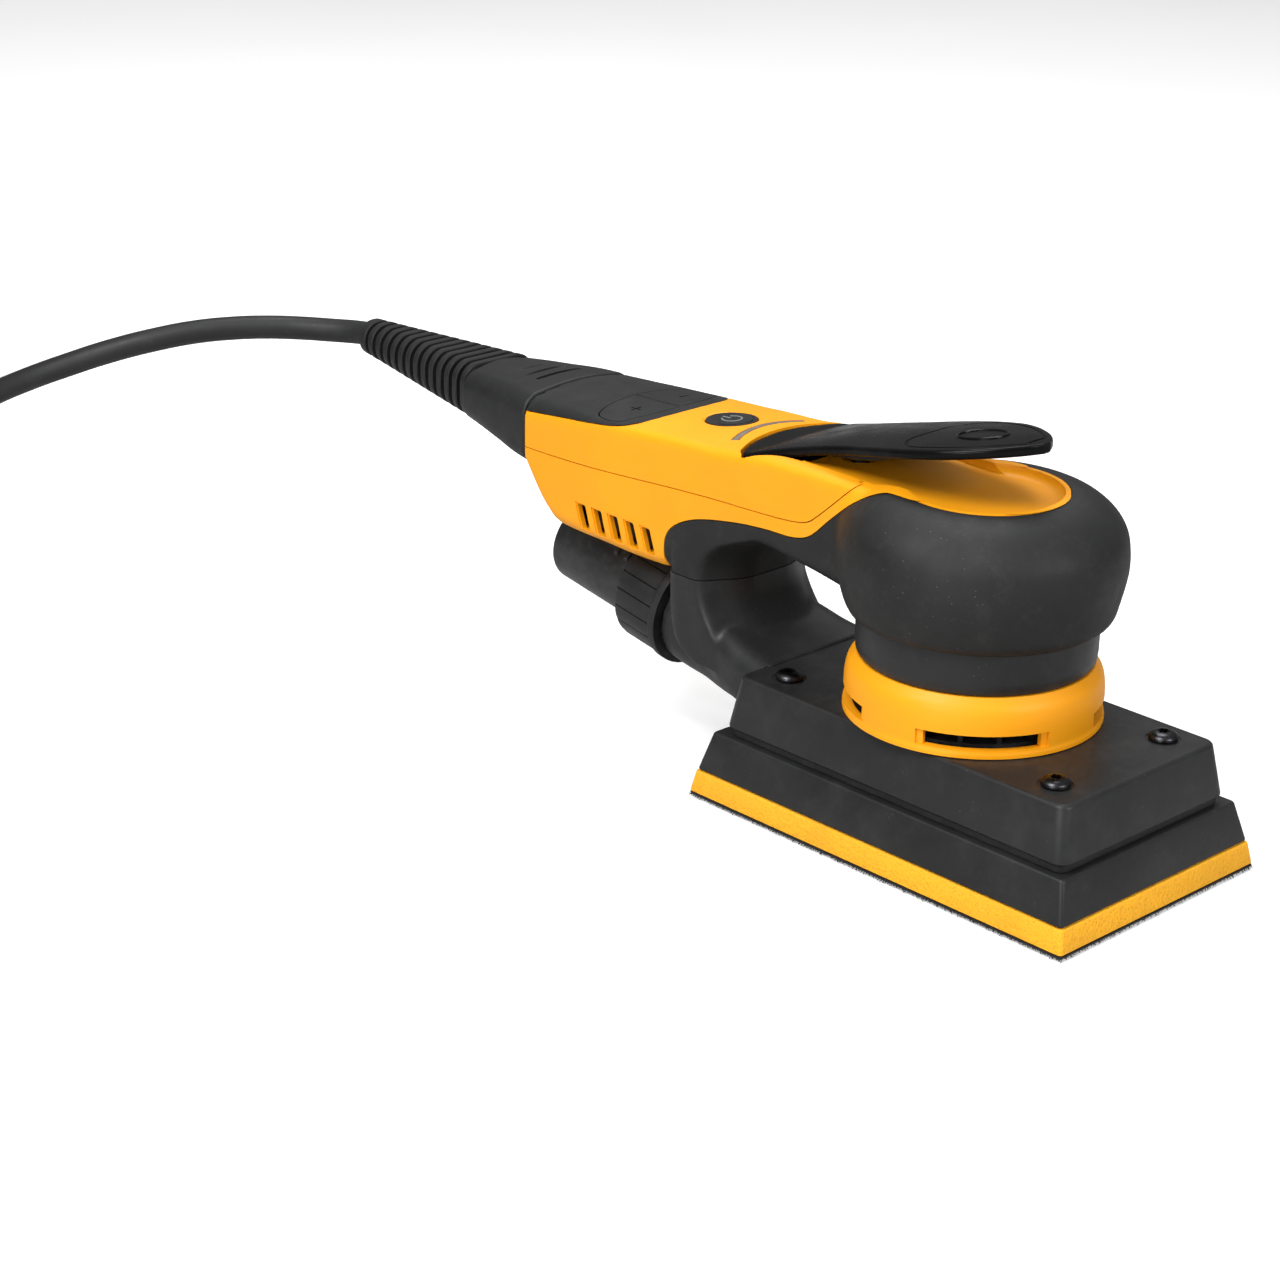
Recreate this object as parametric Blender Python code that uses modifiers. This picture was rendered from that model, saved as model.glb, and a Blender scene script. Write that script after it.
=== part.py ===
"""Compact mains-powered orbital sander with a rectangular pad, built as separate pieces.

Frame: X across the tool, Y along it with the head at -Y and the cord at +Y, Z up.
The origin is on the motor's axis, in the plane of the pad's hook face.
Sizes below are in millimetres; MM turns them into Blender's metres.
"""

import math

import bmesh
import bpy
from mathutils import Matrix, Vector

MM = 0.001
GAP = 0.3

# Pad
PAD_HALF = (40.5, 66.5)
HOOK_TOP = 1.3
FOAM = (1.6, 7.9)
PLATE = (8.2, 19.6)
ORBIT = 1.5
PAD_CENTRE = (ORBIT * math.cos(math.radians(45)), ORBIT * math.sin(math.radians(45)))
DUST_HOLE_R = 2.0
DUST_HOLES = [(x, y) for x in (-26.0, 26.0) for y in (-22.0, 0.0, 22.0)]
DUST_HOLES += [(0.0, -40.0), (0.0, 40.0)]

# Shroud over the pad
SHROUD_Z = (21.9, 37.25)
SHROUD_HALF = ((34.0, 60.0), (31.5, 57.5))
SHROUD_CORNER = 3.6
SHROUD_WALL = 2.0
SHROUD_MOUTH_R = 28.0
POST_AT = [(x, y) for y in (-46.7, 46.7) for x in (-22.1, 22.1)]
POST_R = 4.0

# Head
NECK_R = 32.3
SHAFT_R = 4.0
VENT_SLOT = (39.6, 43.8)
VENT_SLOT_HALF_ANGLE = 26.6
DOME = [(0, 99.7), (22.5, 99.6), (27, 98.7), (31, 97), (35.5, 93), (37.7, 89.5), (38.6, 84.5),
        (38.6, 80), (37.9, 75.5), (36.7, 70), (35.4, 65.3), (0, 65.3)]
CAP_R = 22.0
CAP_UNDERSIDE = 95.6
DISH_R = 20.8
DISH_FLOOR = 97.2

# Body: stations along Y as (y, half width, top, bottom, top corner radius, bottom corner radius)
BODY_HALF = 22.0
BODY = [(8, 20.0, 97.2, 76.0, 2.5, 3), (20, 21.6, 97.6, 73.4, 2.5, 5), (30, 22.0, 97.9, 71.7, 2.5, 8),
        (42, 22.3, 98.0, 71.4, 2.5, 8), (55, 22.6, 98.0, 71.7, 2.5, 8), (66, 22.3, 96.9, 71.5, 3, 8),
        (78, 22.0, 95.5, 70.0, 3, 8), (88, 22.0, 94.9, 66.0, 2.5, 8), (95, 22.0, 94.5, 58.0, 2.5, 6),
        (99, 22.0, 94.2, 54.4, 2.5, 5), (110, 22.3, 93.5, 54.3, 2.5, 5), (124, 22.4, 92.8, 54.8, 3, 5),
        (135, 22.3, 92.4, 55.0, 4, 5), (143.5, 22.2, 92.1, 55.6, 5, 5), (148, 22.1, 92.0, 58.4, 5.5, 5),
        (152, 22.0, 91.9, 62.6, 6, 5), (158, 21.8, 91.7, 71.2, 6.5, 4)]
BODY_CROWN = 1.5
SKIN = 1.6
COVER_SEAM = [(170, 76.6), (155.6, 76.7), (132.8, 77.4), (107.5, 79.0), (83.2, 80.6), (59.9, 81.8),
              (45.5, 82.9), (41.8, 84.0), (38.5, 86.5), (27.7, 96.3), (22.5, 101.5)]
GRIP_EDGE = [(97.4, 50), (97.4, 61.4), (97, 64.5), (95.4, 67.3), (92.3, 69.8), (86.9, 72.4), (81, 74.1),
             (75.1, 75.3), (65.4, 76.9), (55.9, 77.8), (48.4, 78.0), (44.7, 78.6), (41.8, 79.7),
             (38.9, 81.9), (35.5, 85.2), (30.6, 89.4), (24, 94.4), (17.2, 98.2), (10, 99.25), (-45, 99.3)]
CAVITY = [(42.3, 19.2, 88, 82.4), (60, 19.4, 88, 80.6), (78, 19.4, 88, 79.0), (89, 19.4, 88, 75.0),
          (95, 19.4, 88, 72.6), (99.2, 19.4, 87.8, 68.0), (103, 19.4, 87.6, 58.0), (143, 19.4, 86.2, 59.4),
          (152, 19.2, 86, 67.5), (155.3, 19.0, 86, 72.0)]
SOCKET = ((-13, 147.2, 72.4), (13, 157.6, 85.6))
VENT_COUNT = 5
VENT_FIRST_Y = 104.0
VENT_PITCH = 6.8
VENT_Z = (57.9, 65.2)
VENT_X = (18.9, 30.0)
BUTTON_WELL_DEPTH = 3.2

# Hand grip around the finger hole
GRIP_FOOT = 55.15
PILLAR = [(55.15, 76.4, 97.1), (58, 76.2, 97.1), (61.4, 75.0, 97.1), (64.4, 72.6, 97.1),
          (67, 69.0, 96), (69.3, 64.0, 94), (72.0, 57, 92), (75, 50, 90)]
LEG_FRONT = (15.0, 10.0)
LEG_REAR_R = 5.0

# Lever: stations along Y as (y, half width, top)
LEVER = [(74.6, 3.0, 96.7), (73.6, 9.5, 96.7), (71.6, 15.5, 96.6), (69.6, 19.2, 96.6), (68.0, 20.9, 96.6),
         (64, 20.0, 97.8), (60, 18.9, 99.0), (52, 17.3, 101.3), (44, 16.7, 103.5), (36, 16.9, 105.5),
         (28, 18.0, 107.4), (20, 18.9, 109.2), (12, 19.4, 110.9), (4, 18.6, 112.5), (-2, 16.6, 113.6),
         (-8, 13.2, 114.6), (-13, 9.4, 115.4), (-17, 5.0, 116.0), (-19, 1.6, 116.3)]
LEVER_THICK = 2.8
LEVER_PIN = (62.0, 92.4)
LEVER_PIN_R = 1.5
PLUNGER_Y = 44.0
LEVER_WELL_FLOOR = 93.2
LEVER_WELL_Y = (50.0, 76.0)

# Controls on the rear top
PANEL_EDGE = [(158.7, 87.6), (142, 89.4), (124, 90.8), (106, 91.6)]
POWER_AT = (0.0, 93.5)
POWER_R = 7.4
STATUS_ARC = (29.0, 53.0, 28.5)

# Dust outlet: an axis in the X = 0 plane that rises to the rear
OUTLET_TILT = 9.57
OUTLET_AT = (140.0, 41.74)
TUBE_R = (11.9, 13.4)
TUBE_Y = (95.0, 154.6)
COLLAR_R = (13.7, 17.7)
COLLAR_Y = (105.0, 122.9)
DUCT_RUN = [(55.5, 24.0, 38.0, 22.6, 6, 3), (60, 24.0, 38.6, 22.2, 7, 4), (66, 23.5, 39.6, 21.6, 7, 7),
            (74, 22.2, 42.0, 20.0, 7, 12), (84, 18.6, 45.0, 17.8, 6, 15), (94, 16.7, 48, 18.1, 6, 15.8),
            (101, 16.4, 50, 18.9, 6, 15.8)]
DUCT_PILLAR = [(30, 60.5, 88.0), (33, 63.5, 93.0), (36, 66.2, 95.6), (40, 69.6, 96.8), (45, 73.2, 97.4),
               (50, 75.6, 97.6), (54.85, 76.4, 97.7)]
DUCT_CHANNEL = [(52, 22.0, 30.0, 24.6, 2, 2), (60, 21.0, 30.0, 24.6, 2, 2), (70, 16.5, 33.4, 24.6, 4, 4),
                (82, 13.5, 39.0, 24.2, 6, 7), (96, 11.8, 46.0, 22.6, 10, 11)]

# Plug, strain relief and cord
PLUG = [(158.3, 21.7, 92.1, 70.9, 6.5, 4.5), (166, 20.6, 92.0, 71.3, 6.5, 5),
        (176, 18.4, 91.5, 72.2, 6.5, 5.5), (186, 16.4, 90.8, 73.4, 6, 5.5), (194.7, 15.0, 90.0, 74.5, 6, 5.5)]
RELIEF_Y = (195.0, 257.0)
RELIEF_RIBS = 13
CORD_R = 3.8
CORD_ROUTE = [(0, 258.3, 85.5), (-1.0, 264.5, 85.0), (-4.6, 272.2, 84.6), (-10.9, 279.8, 84.8),
              (-19.2, 286.6, 85.2), (-29.0, 293.2, 85.2), (-40.0, 299.8, 84.4), (-51.5, 306.4, 82.4),
              (-62.7, 313.7, 79.3), (-73.2, 322.2, 74.9), (-82.8, 332.4, 69.4), (-90.8, 344.4, 62.4),
              (-96.8, 358.0, 53.6), (-100.8, 372.8, 43.4), (-103.0, 388.4, 32.8), (-104.0, 404.6, 22.8),
              (-104.2, 421.0, 14.6), (-103.8, 437.6, 8.6), (-103.0, 454.4, 5.2), (-102.0, 471.4, 4.2),
              (-101.0, 488.6, 4.1), (-100.2, 506.0, 4.1), (-99.8, 523.6, 4.1)]
COIL_CENTRE = (-40.8, 556.0)
COIL_R = (39.6, 62.8)
COIL_HEIGHT = 31.0
TAIL_R = 54.0
TAIL_ANGLES = (-68.0, -130.0)

SHAPES = bpy.data.collections.new("orbital_sander")
CUTTERS = bpy.data.collections.new("cutters")

# Finishes: colour (linear), roughness, metallic
FINISHES = {
    "yellow_plastic": ((0.98, 0.45, 0.012, 1), 0.42, 0.0),
    "black_plastic": ((0.022, 0.023, 0.024, 1), 0.45, 0.0),
    "grip_rubber": ((0.024, 0.025, 0.026, 1), 0.75, 0.0),
    "pad_foam": ((0.98, 0.45, 0.012, 1), 0.85, 0.0),
    "hook_layer": ((0.012, 0.012, 0.012, 1), 0.95, 0.0),
    "cord_rubber": ((0.018, 0.019, 0.020, 1), 0.55, 0.0),
    "bright_steel": ((0.55, 0.56, 0.58, 1), 0.28, 1.0),
    "black_steel": ((0.05, 0.05, 0.055, 1), 0.35, 1.0),
    "aluminium": ((0.60, 0.61, 0.63, 1), 0.40, 1.0),
    "magnet": ((0.10, 0.10, 0.11, 1), 0.50, 1.0),
    "copper_winding": ((0.60, 0.24, 0.09, 1), 0.40, 1.0),
    "board_green": ((0.02, 0.12, 0.05, 1), 0.50, 0.0),
    "grey_lens": ((0.35, 0.33, 0.30, 1), 0.35, 0.0),
}


def clear_scene():
    for old in list(bpy.data.objects):
        bpy.data.objects.remove(old, do_unlink=True)


def finish_of(slot):
    """The Principled material of a slot, made once."""
    if slot in bpy.data.materials:
        return bpy.data.materials[slot]
    colour, roughness, metallic = FINISHES[slot]
    material = bpy.data.materials.new(slot)
    material.use_nodes = True
    shader = material.node_tree.nodes["Principled BSDF"]
    shader.inputs["Base Color"].default_value = colour
    shader.inputs["Roughness"].default_value = roughness
    shader.inputs["Metallic"].default_value = metallic
    material.diffuse_color = colour
    return material


def place(name, data, slot=None, location=(0, 0, 0), rotation=(0, 0, 0)):
    """Adds an object: a visible piece where slot is given, otherwise a cutter."""
    piece = bpy.data.objects.new(name, data)
    piece.location = Vector(location) * MM
    piece.rotation_euler = [math.radians(angle) for angle in rotation]
    if slot:
        data.materials.append(finish_of(slot))
        SHAPES.objects.link(piece)
    else:
        piece.hide_render = True
        piece.display_type = "WIRE"
        CUTTERS.objects.link(piece)
    return piece


def frozen(piece):
    """Turns a curve, or an object with modifiers, into a plain welded mesh object."""
    bpy.context.view_layer.update()
    graph = bpy.context.evaluated_depsgraph_get()
    mesh = bpy.data.meshes.new_from_object(piece.evaluated_get(graph))
    shape = bmesh.new()
    shape.from_mesh(mesh)
    bmesh.ops.remove_doubles(shape, verts=shape.verts, dist=1e-6)
    bmesh.ops.recalc_face_normals(shape, faces=shape.faces)
    shape.to_mesh(mesh)
    shape.free()
    name, matrix, holder = piece.name, piece.matrix_world.copy(), piece.users_collection[0]
    bpy.data.objects.remove(piece, do_unlink=True)
    solid = bpy.data.objects.new(name, mesh)
    solid.matrix_world = matrix
    if holder == CUTTERS:
        solid.hide_render = True
        solid.display_type = "WIRE"
    holder.objects.link(solid)
    return solid


def smooth(piece, angle=35):
    piece.data.shade_smooth()
    piece.data.set_sharp_from_angle(angle=math.radians(angle))
    return piece


def combine(piece, other, operation="DIFFERENCE", solver="EXACT"):
    modifier = piece.modifiers.new(operation.lower(), "BOOLEAN")
    modifier.operation = operation
    modifier.solver = solver
    modifier.object = other
    return piece


def bevel(piece, width, segments=1, angle=40):
    modifier = piece.modifiers.new("bevel", "BEVEL")
    modifier.width = width * MM
    modifier.segments = segments
    modifier.limit_method = "ANGLE"
    modifier.angle_limit = math.radians(angle)
    return piece


def turned(name, profile, slot=None, steps=32, closed=False, **where):
    """A solid turned about Z. The profile runs down the outer side, as (radius, z)."""
    shape = bmesh.new()
    points = [shape.verts.new((r * MM, 0, z * MM)) for r, z in profile]
    for low, high in zip(points, points[1:]):
        shape.edges.new((low, high))
    if closed:
        shape.edges.new((points[-1], points[0]))
    mesh = bpy.data.meshes.new(name)
    shape.to_mesh(mesh)
    shape.free()
    piece = place(name, mesh, slot, **where)
    screw = piece.modifiers.new("turn", "SCREW")
    screw.steps = steps
    screw.render_steps = steps
    screw.use_merge_vertices = True
    screw.merge_threshold = 0.00001
    return piece


def ring(name, inner, outer, low, high, slot=None, steps=32, **where):
    profile = [(outer, high), (outer, low), (inner, low), (inner, high)]
    return turned(name, profile, slot, steps, closed=True, **where)


def disc(name, radius, low, high, slot=None, steps=32, **where):
    return turned(name, [(0, high), (radius, high), (radius, low), (0, low)], slot, steps, **where)


def slab(name, outline, low, high, slot=None, along="Z"):
    """A flat outline pushed out along Z, or along X when its points are (y, z)."""
    curve = bpy.data.curves.new(name, "CURVE")
    curve.dimensions = "2D"
    curve.fill_mode = "BOTH"
    curve.extrude = (high - low) / 2 * MM
    spline = curve.splines.new("POLY")
    spline.points.add(len(outline) - 1)
    for point, (a, b) in zip(spline.points, outline):
        point.co = (a * MM, b * MM, 0, 1)
    spline.use_cyclic_u = True
    middle = (low + high) / 2
    if along == "X":
        return frozen(place(name, curve, slot, location=(middle, 0, 0), rotation=(90, 0, 90)))
    return frozen(place(name, curve, slot, location=(0, 0, middle)))


def block(name, low, high, slot=None):
    """A box from its lowest to its highest corner."""
    shape = bmesh.new()
    bmesh.ops.create_cube(shape, size=1)
    size = [(b - a) * MM for a, b in zip(low, high)]
    bmesh.ops.scale(shape, vec=size, verts=shape.verts)
    mesh = bpy.data.meshes.new(name)
    shape.to_mesh(mesh)
    shape.free()
    return place(name, mesh, slot, location=[(a + b) / 2 for a, b in zip(low, high)])


def tube(name, points, radius, slot=None, resolution=2):
    curve = bpy.data.curves.new(name, "CURVE")
    curve.dimensions = "3D"
    curve.bevel_depth = radius * MM
    curve.bevel_resolution = resolution
    curve.use_fill_caps = True
    spline = curve.splines.new("POLY")
    spline.points.add(len(points) - 1)
    for point, where in zip(spline.points, points):
        point.co = (*(c * MM for c in where), 1)
    return place(name, curve, slot)


def loft(name, sections, slot=None):
    """A solid through closed sections of equally many points, with flat ends."""
    shape = bmesh.new()
    rings = [[shape.verts.new([c * MM for c in point]) for point in section] for section in sections]
    count = len(rings[0])
    for before, after in zip(rings, rings[1:]):
        for i in range(count):
            j = (i + 1) % count
            shape.faces.new((before[i], before[j], after[j], after[i]))
    shape.faces.new(rings[0])
    shape.faces.new(rings[-1])
    bmesh.ops.recalc_face_normals(shape, faces=shape.faces)
    mesh = bpy.data.meshes.new(name)
    shape.to_mesh(mesh)
    shape.free()
    return place(name, mesh, slot)


def arc(centre, radius, start, stop, steps):
    """Points on a circle, from one angle to another, in degrees."""
    turns = [math.radians(start + (stop - start) * i / steps) for i in range(steps + 1)]
    return [(centre[0] + radius * math.cos(t), centre[1] + radius * math.sin(t)) for t in turns]


def rounded_rectangle(half_x, half_y, radius, steps=3, centre=(0, 0)):
    corners = [(1, 1, 0), (-1, 1, 90), (-1, -1, 180), (1, -1, 270)]
    points = []
    for sx, sy, start in corners:
        middle = (centre[0] + sx * (half_x - radius), centre[1] + sy * (half_y - radius))
        points += arc(middle, radius, start, start + 90, steps)
    return points


def body_section(y, half, top, bottom, r_top, r_bottom, crown=0.0, steps=3):
    """A section across the tool: flat sides, rounded corners and a slightly crowned top."""
    points = []
    points += arc((half - r_top, top - r_top), r_top, 0, 90, steps)
    if crown:
        points += [(half * 0.4, top + crown * 0.8), (0, top + crown), (-half * 0.4, top + crown * 0.8)]
    points += arc((-half + r_top, top - r_top), r_top, 90, 180, steps)
    points += arc((-half + r_bottom, bottom + r_bottom), r_bottom, 180, 270, steps)
    points += arc((half - r_bottom, bottom + r_bottom), r_bottom, 270, 360, steps)
    return [(x, y, z) for x, z in points]


def body_loft(name, stations, inset=0.0, crown=0.0, slot=None, steps=3):
    sections = []
    for y, half, top, bottom, r_top, r_bottom in stations:
        radii = max(r_top - inset, 0.8), max(r_bottom - inset, 0.8)
        sections.append(body_section(y, half - inset, top - inset, bottom + inset, *radii, crown, steps))
    return loft(name, sections, slot)


def hang_on(name, location, pieces):
    """An empty on a joint's axis that carries the moving pieces."""
    axis = bpy.data.objects.new(name, None)
    axis.location = Vector(location) * MM
    SHAPES.objects.link(axis)
    for piece in pieces:
        piece.parent = axis
        piece.matrix_parent_inverse = Matrix.Translation(-axis.location)


def offset_line(line, distance):
    """The line moved sideways, to its left for a positive distance."""
    moved = []
    for i, (a, b) in enumerate(line):
        before = Vector(line[max(i - 1, 0)])
        after = Vector(line[min(i + 1, len(line) - 1)])
        ahead = (after - before).normalized()
        moved.append((a - ahead.y * distance, b + ahead.x * distance))
    return moved


def smooth_route(points, spacing):
    """Points read at about the given spacing from a smooth curve through the route's points."""
    route = [Vector(p) for p in points]
    ends = [route[0] * 2 - route[1]] + route + [route[-1] * 2 - route[-2]]
    dense = []
    for p0, p1, p2, p3 in zip(ends, ends[1:], ends[2:], ends[3:]):
        for k in range(20):
            t = k / 20
            dense.append(0.5 * (2 * p1 + (p2 - p0) * t + (2 * p0 - 5 * p1 + 4 * p2 - p3) * t * t
                                + (3 * p1 - p0 - 3 * p2 + p3) * t ** 3))
    dense.append(route[-1])
    kept = [dense[0]]
    for point in dense[1:-1]:
        far_enough = (point - kept[-1]).length >= spacing
        if far_enough and (point - dense[-1]).length >= spacing / 2:
            kept.append(point)
    return kept + [dense[-1]]


def outlet_z(y):
    return OUTLET_AT[1] + math.tan(math.radians(OUTLET_TILT)) * (y - OUTLET_AT[0])


def on_outlet(name, profile, slot=None, steps=32, closed=True):
    """A solid turned about the dust outlet's axis, from (radius, y along the tool) points."""
    stretch = 1 / math.cos(math.radians(OUTLET_TILT))
    local = [(r, (y - OUTLET_AT[0]) * stretch) for r, y in profile]
    where = {"location": (0, *OUTLET_AT), "rotation": (OUTLET_TILT - 90, 0, 0)}
    return turned(name, local, slot, steps, closed, **where)


def outlet_ring(name, inner, outer, low, high, slot=None, steps=32):
    return on_outlet(name, [(outer, high), (outer, low), (inner, low), (inner, high)], slot, steps)


def outlet_disc(name, radius, low, high, steps=32):
    return on_outlet(name, [(0, high), (radius, high), (radius, low), (0, low)], None, steps, False)


# Guides that several pieces share

def hand_body(name, slot=None):
    """The whole upper outline: the dome over the motor joined to the body behind it."""
    body = body_loft(name, BODY, crown=BODY_CROWN, slot=slot)
    return combine(body, bpy.data.objects["dome"], "UNION")


def make_guides():
    turned("dome", DOME, steps=40)
    body_loft("body_core", BODY, inset=SKIN + GAP, crown=BODY_CROWN)
    body_loft("skin_inside", BODY, inset=SKIN, crown=BODY_CROWN)
    outer = [(22.3, 99.9), (22.3, 95.3), (NECK_R + GAP, 92.3), (NECK_R + GAP, 60), (0, 60)]
    turned("motor_space", [(0, 99.9)] + outer, steps=40)
    channel = [(y, half, top, bottom, 3, 3) for y, half, top, bottom in CAVITY]
    body_loft("body_cavity", channel, steps=1)
    for i, (x, y) in enumerate(case_screws_at()):
        disc(f"column_{i}", 3.6, 50, 95, steps=12, location=(x, y, 0))
        combine(bpy.data.objects["body_cavity"], bpy.data.objects[f"column_{i}"])
    low, high = SOCKET
    block("socket_hole", (low[0] - GAP, 145, low[2] - GAP), (high[0] + GAP, 165, high[2] + GAP))
    dish = arc((0, 0), DISH_R, -234, 54, 28)
    channel_half = 17.2
    dish += [(channel_half, 22), (channel_half, LEVER_WELL_Y[0] + 2)]
    dish += [(-channel_half, LEVER_WELL_Y[0] + 2), (-channel_half, 22)]
    slab("dish", dish, DISH_FLOOR, 110)
    slab("lever_well", lever_outline(0.8, LEVER_WELL_Y[0]), LEVER_WELL_FLOOR, 110)
    block("lug_well", (-8.6, 57.4, 88.9), (8.6, 66.6, 96))
    disc("plunger_well", 6.0, 94.9, 99, steps=24, location=(0, PLUNGER_Y, 0))
    disc("plunger_hole", 2.8, 86, 96, steps=16, location=(0, PLUNGER_Y, 0))
    tongue_end = LEVER_WELL_Y[0] - GAP / 2
    tongue = [(26, 97.8), (26, 94.5), (32.5, 88), (39.8, 81.9), (tongue_end, 79.4), (tongue_end, 97.8)]
    slab("tongue", tongue, -17, 17, along="X")
    block("tongue_space", (-17 - GAP, 0, 70), (17 + GAP, tongue_end + GAP, 110))
    pin_y, pin_z = LEVER_PIN
    across = {"location": (0, pin_y, pin_z), "rotation": (0, 90, 0)}
    disc("pin_hole", LEVER_PIN_R + GAP, -13.3, 13.3, steps=16, **across)
    outlet_disc("tube_space", TUBE_R[1] + 0.9, 120, 170)
    outlet_disc("collar_space", COLLAR_R[1] + 0.9, 90, 124.5)


def case_screws_at():
    return [(x, y) for y in (104.5, 137.0) for x in (-15.0, 15.0)]


def lever_outline(margin, front):
    """The lever's outline from above, wider by a margin, from its rear edge to a front limit."""
    side = []
    for y, half, _ in LEVER:
        rear_edge = half < 20 and y > 68
        if y >= front:
            side.append((half + margin, y + (margin if rear_edge else 0)))
    front_half = side[-1][0]
    straight = [(front_half, front - 1), (-front_half, front - 1)]
    return side + straight + [(-x, y) for x, y in reversed(side)]


def panel_outline(margin=0.0):
    """The control panel from above: its front edge is a shallow arc."""
    front = [(-24, 115.4 - margin), (-12, 111.4 - margin), (0, 110 - margin), (12, 111.4 - margin),
             (24, 115.4 - margin)]
    return front + [(24, 158.5), (-24, 158.5)]


def button_outline(side, margin=0.0):
    """One of the two speed buttons: a sector between the front edge, the middle and an arc."""
    low, m = 0.55 - margin, margin
    points = [(low, 111.6 - m), (11, 112.7 - m), (19 + m, 114.8 - m), (19.6 + m, 122.5 + m)]
    points += [(15, 128.6 + m), (8, 132.4 + m), (low, 133.6 + m)]
    return [(side * x, y) for x, y in points]


def leg_loft(name, levels):
    """The hand grip's leg through level cuts (z, front, rear), each with a broad rounded front."""
    wide, deep = LEG_FRONT
    r = LEG_REAR_R
    sections = []
    for z, front, rear in levels:
        flat = arc((BODY_HALF - r, rear - r), r, 0, 90, 2) + arc((r - BODY_HALF, rear - r), r, 90, 180, 2)
        turn = arc((0, 0), 1, 180, 270, 5)
        quarter = [(wide + x * wide - BODY_HALF, front + deep + y * deep) for x, y in turn]
        flat += quarter + [(-x, y) for x, y in reversed(quarter)]
        sections.append([(x, y, z) for x, y in flat])
    return loft(name, sections)


def panel_region(name, margin=0.0):
    """The control panel's outline from above, kept above its sloping side edges."""
    piece = slab(name, panel_outline(margin), 80, 110)
    side = offset_line(PANEL_EDGE, margin) + [(106, 110), (158.7, 110)]
    return combine(piece, slab(f"{name}_side", side, -30, 30, along="X"), "INTERSECT")


# Pad

def with_dust_holes(piece):
    for i, (x, y) in enumerate(DUST_HOLES):
        at = (x + PAD_CENTRE[0], y + PAD_CENTRE[1], 0)
        name = f"dust_hole_{i}"
        hole = bpy.data.objects.get(name) or disc(name, DUST_HOLE_R, -1, 25, steps=8, location=at)
        combine(piece, hole)
    return piece


def frustum(name, bottom, top, half_bottom, half_top, radius, slot=None, centre=PAD_CENTRE, steps=2):
    def section(half, z):
        return [(x, y, z) for x, y in rounded_rectangle(*half, radius, steps, centre)]
    return loft(name, [section(half_bottom, bottom), section(half_top, top)], slot)


def make_pad():
    """Hook layer, foam and backing plate, all on the pad's own orbiting axis."""
    hx, hy = PAD_HALF
    hook = frustum("hook_layer", 0, HOOK_TOP, (hx, hy), (hx, hy), 1.2, "hook_layer")
    foam = frustum("pad_foam", *FOAM, (hx, hy), (hx - 1.2, hy - 1.2), 1.2, "pad_foam")
    plate = frustum("pad_plate", *PLATE, (hx - 1.5, hy - 1.5), (hx - 4.5, hy - 4.5), 1.2, "black_plastic")
    for piece in (hook, foam, plate):
        with_dust_holes(piece)
    for i, (x, y) in enumerate(POST_AT):
        at = (x + PAD_CENTRE[0], y + PAD_CENTRE[1], 0)
        combine(plate, disc(f"post_socket_{i}", POST_R + ORBIT + 0.7, 10.5, 25, steps=16, location=at))
    combine(plate, disc("spindle_bore", 5.3, 10.6, 25, steps=20, location=(*PAD_CENTRE, 0)))
    hang_on("pad_axis", (*PAD_CENTRE, 0), (hook, foam, plate))


def make_drive():
    """Everything on the motor's shaft: spindle, eccentric hub with its bearing, fan and counterweight."""
    centre = (*PAD_CENTRE, 0)
    spindle = [(0, 32.6), (SHAFT_R, 32.6), (SHAFT_R, 24.2), (9, 24.2), (9, 19.9), (5, 19.9), (5, 11), (0, 11)]
    smooth(turned("pad_spindle", spindle, "bright_steel", 20, location=centre))
    ring("spindle_bearing", SHAFT_R + GAP, 9.2, 26.6, 33.0, "bright_steel", 24, location=centre)
    hub = disc("eccentric_hub", 12.6, 26.3, 37.4, "aluminium", 28)
    combine(hub, disc("hub_seat", 9.5, 20, 33.3, steps=24, location=centre))
    combine(hub, disc("hub_bore", SHAFT_R + GAP, 30, 45, steps=20))
    fan = disc("cooling_fan", 29.4, 38.2, 39.4, "black_plastic", 36)
    blades = []
    for i in range(18):
        a = i * 20
        blades += arc((0, 0), 13, a, a + 12, 1) + arc((0, 0), 29.2, a + 13, a + 15.5, 1)
    combine(fan, slab("fan_blades", blades, 39.0, 46.0), "UNION")
    combine(fan, disc("fan_bore", SHAFT_R + GAP, 30, 50, steps=20))
    sector = arc((0, 0), 24, 135, 315, 16) + arc((0, 0), 9, 315, 495, 8)
    weight = slab("counterweight", sector, 46.6, 50.4, "bright_steel")
    combine(weight, disc("weight_bore", SHAFT_R + GAP, 45, 52, steps=20))
    smooth(disc("rotor_shaft", SHAFT_R, 34.0, 94.6, "bright_steel", 20))
    smooth(ring("rotor_magnet", SHAFT_R + GAP, 16.2, 65, 86, "magnet", 28))


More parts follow.
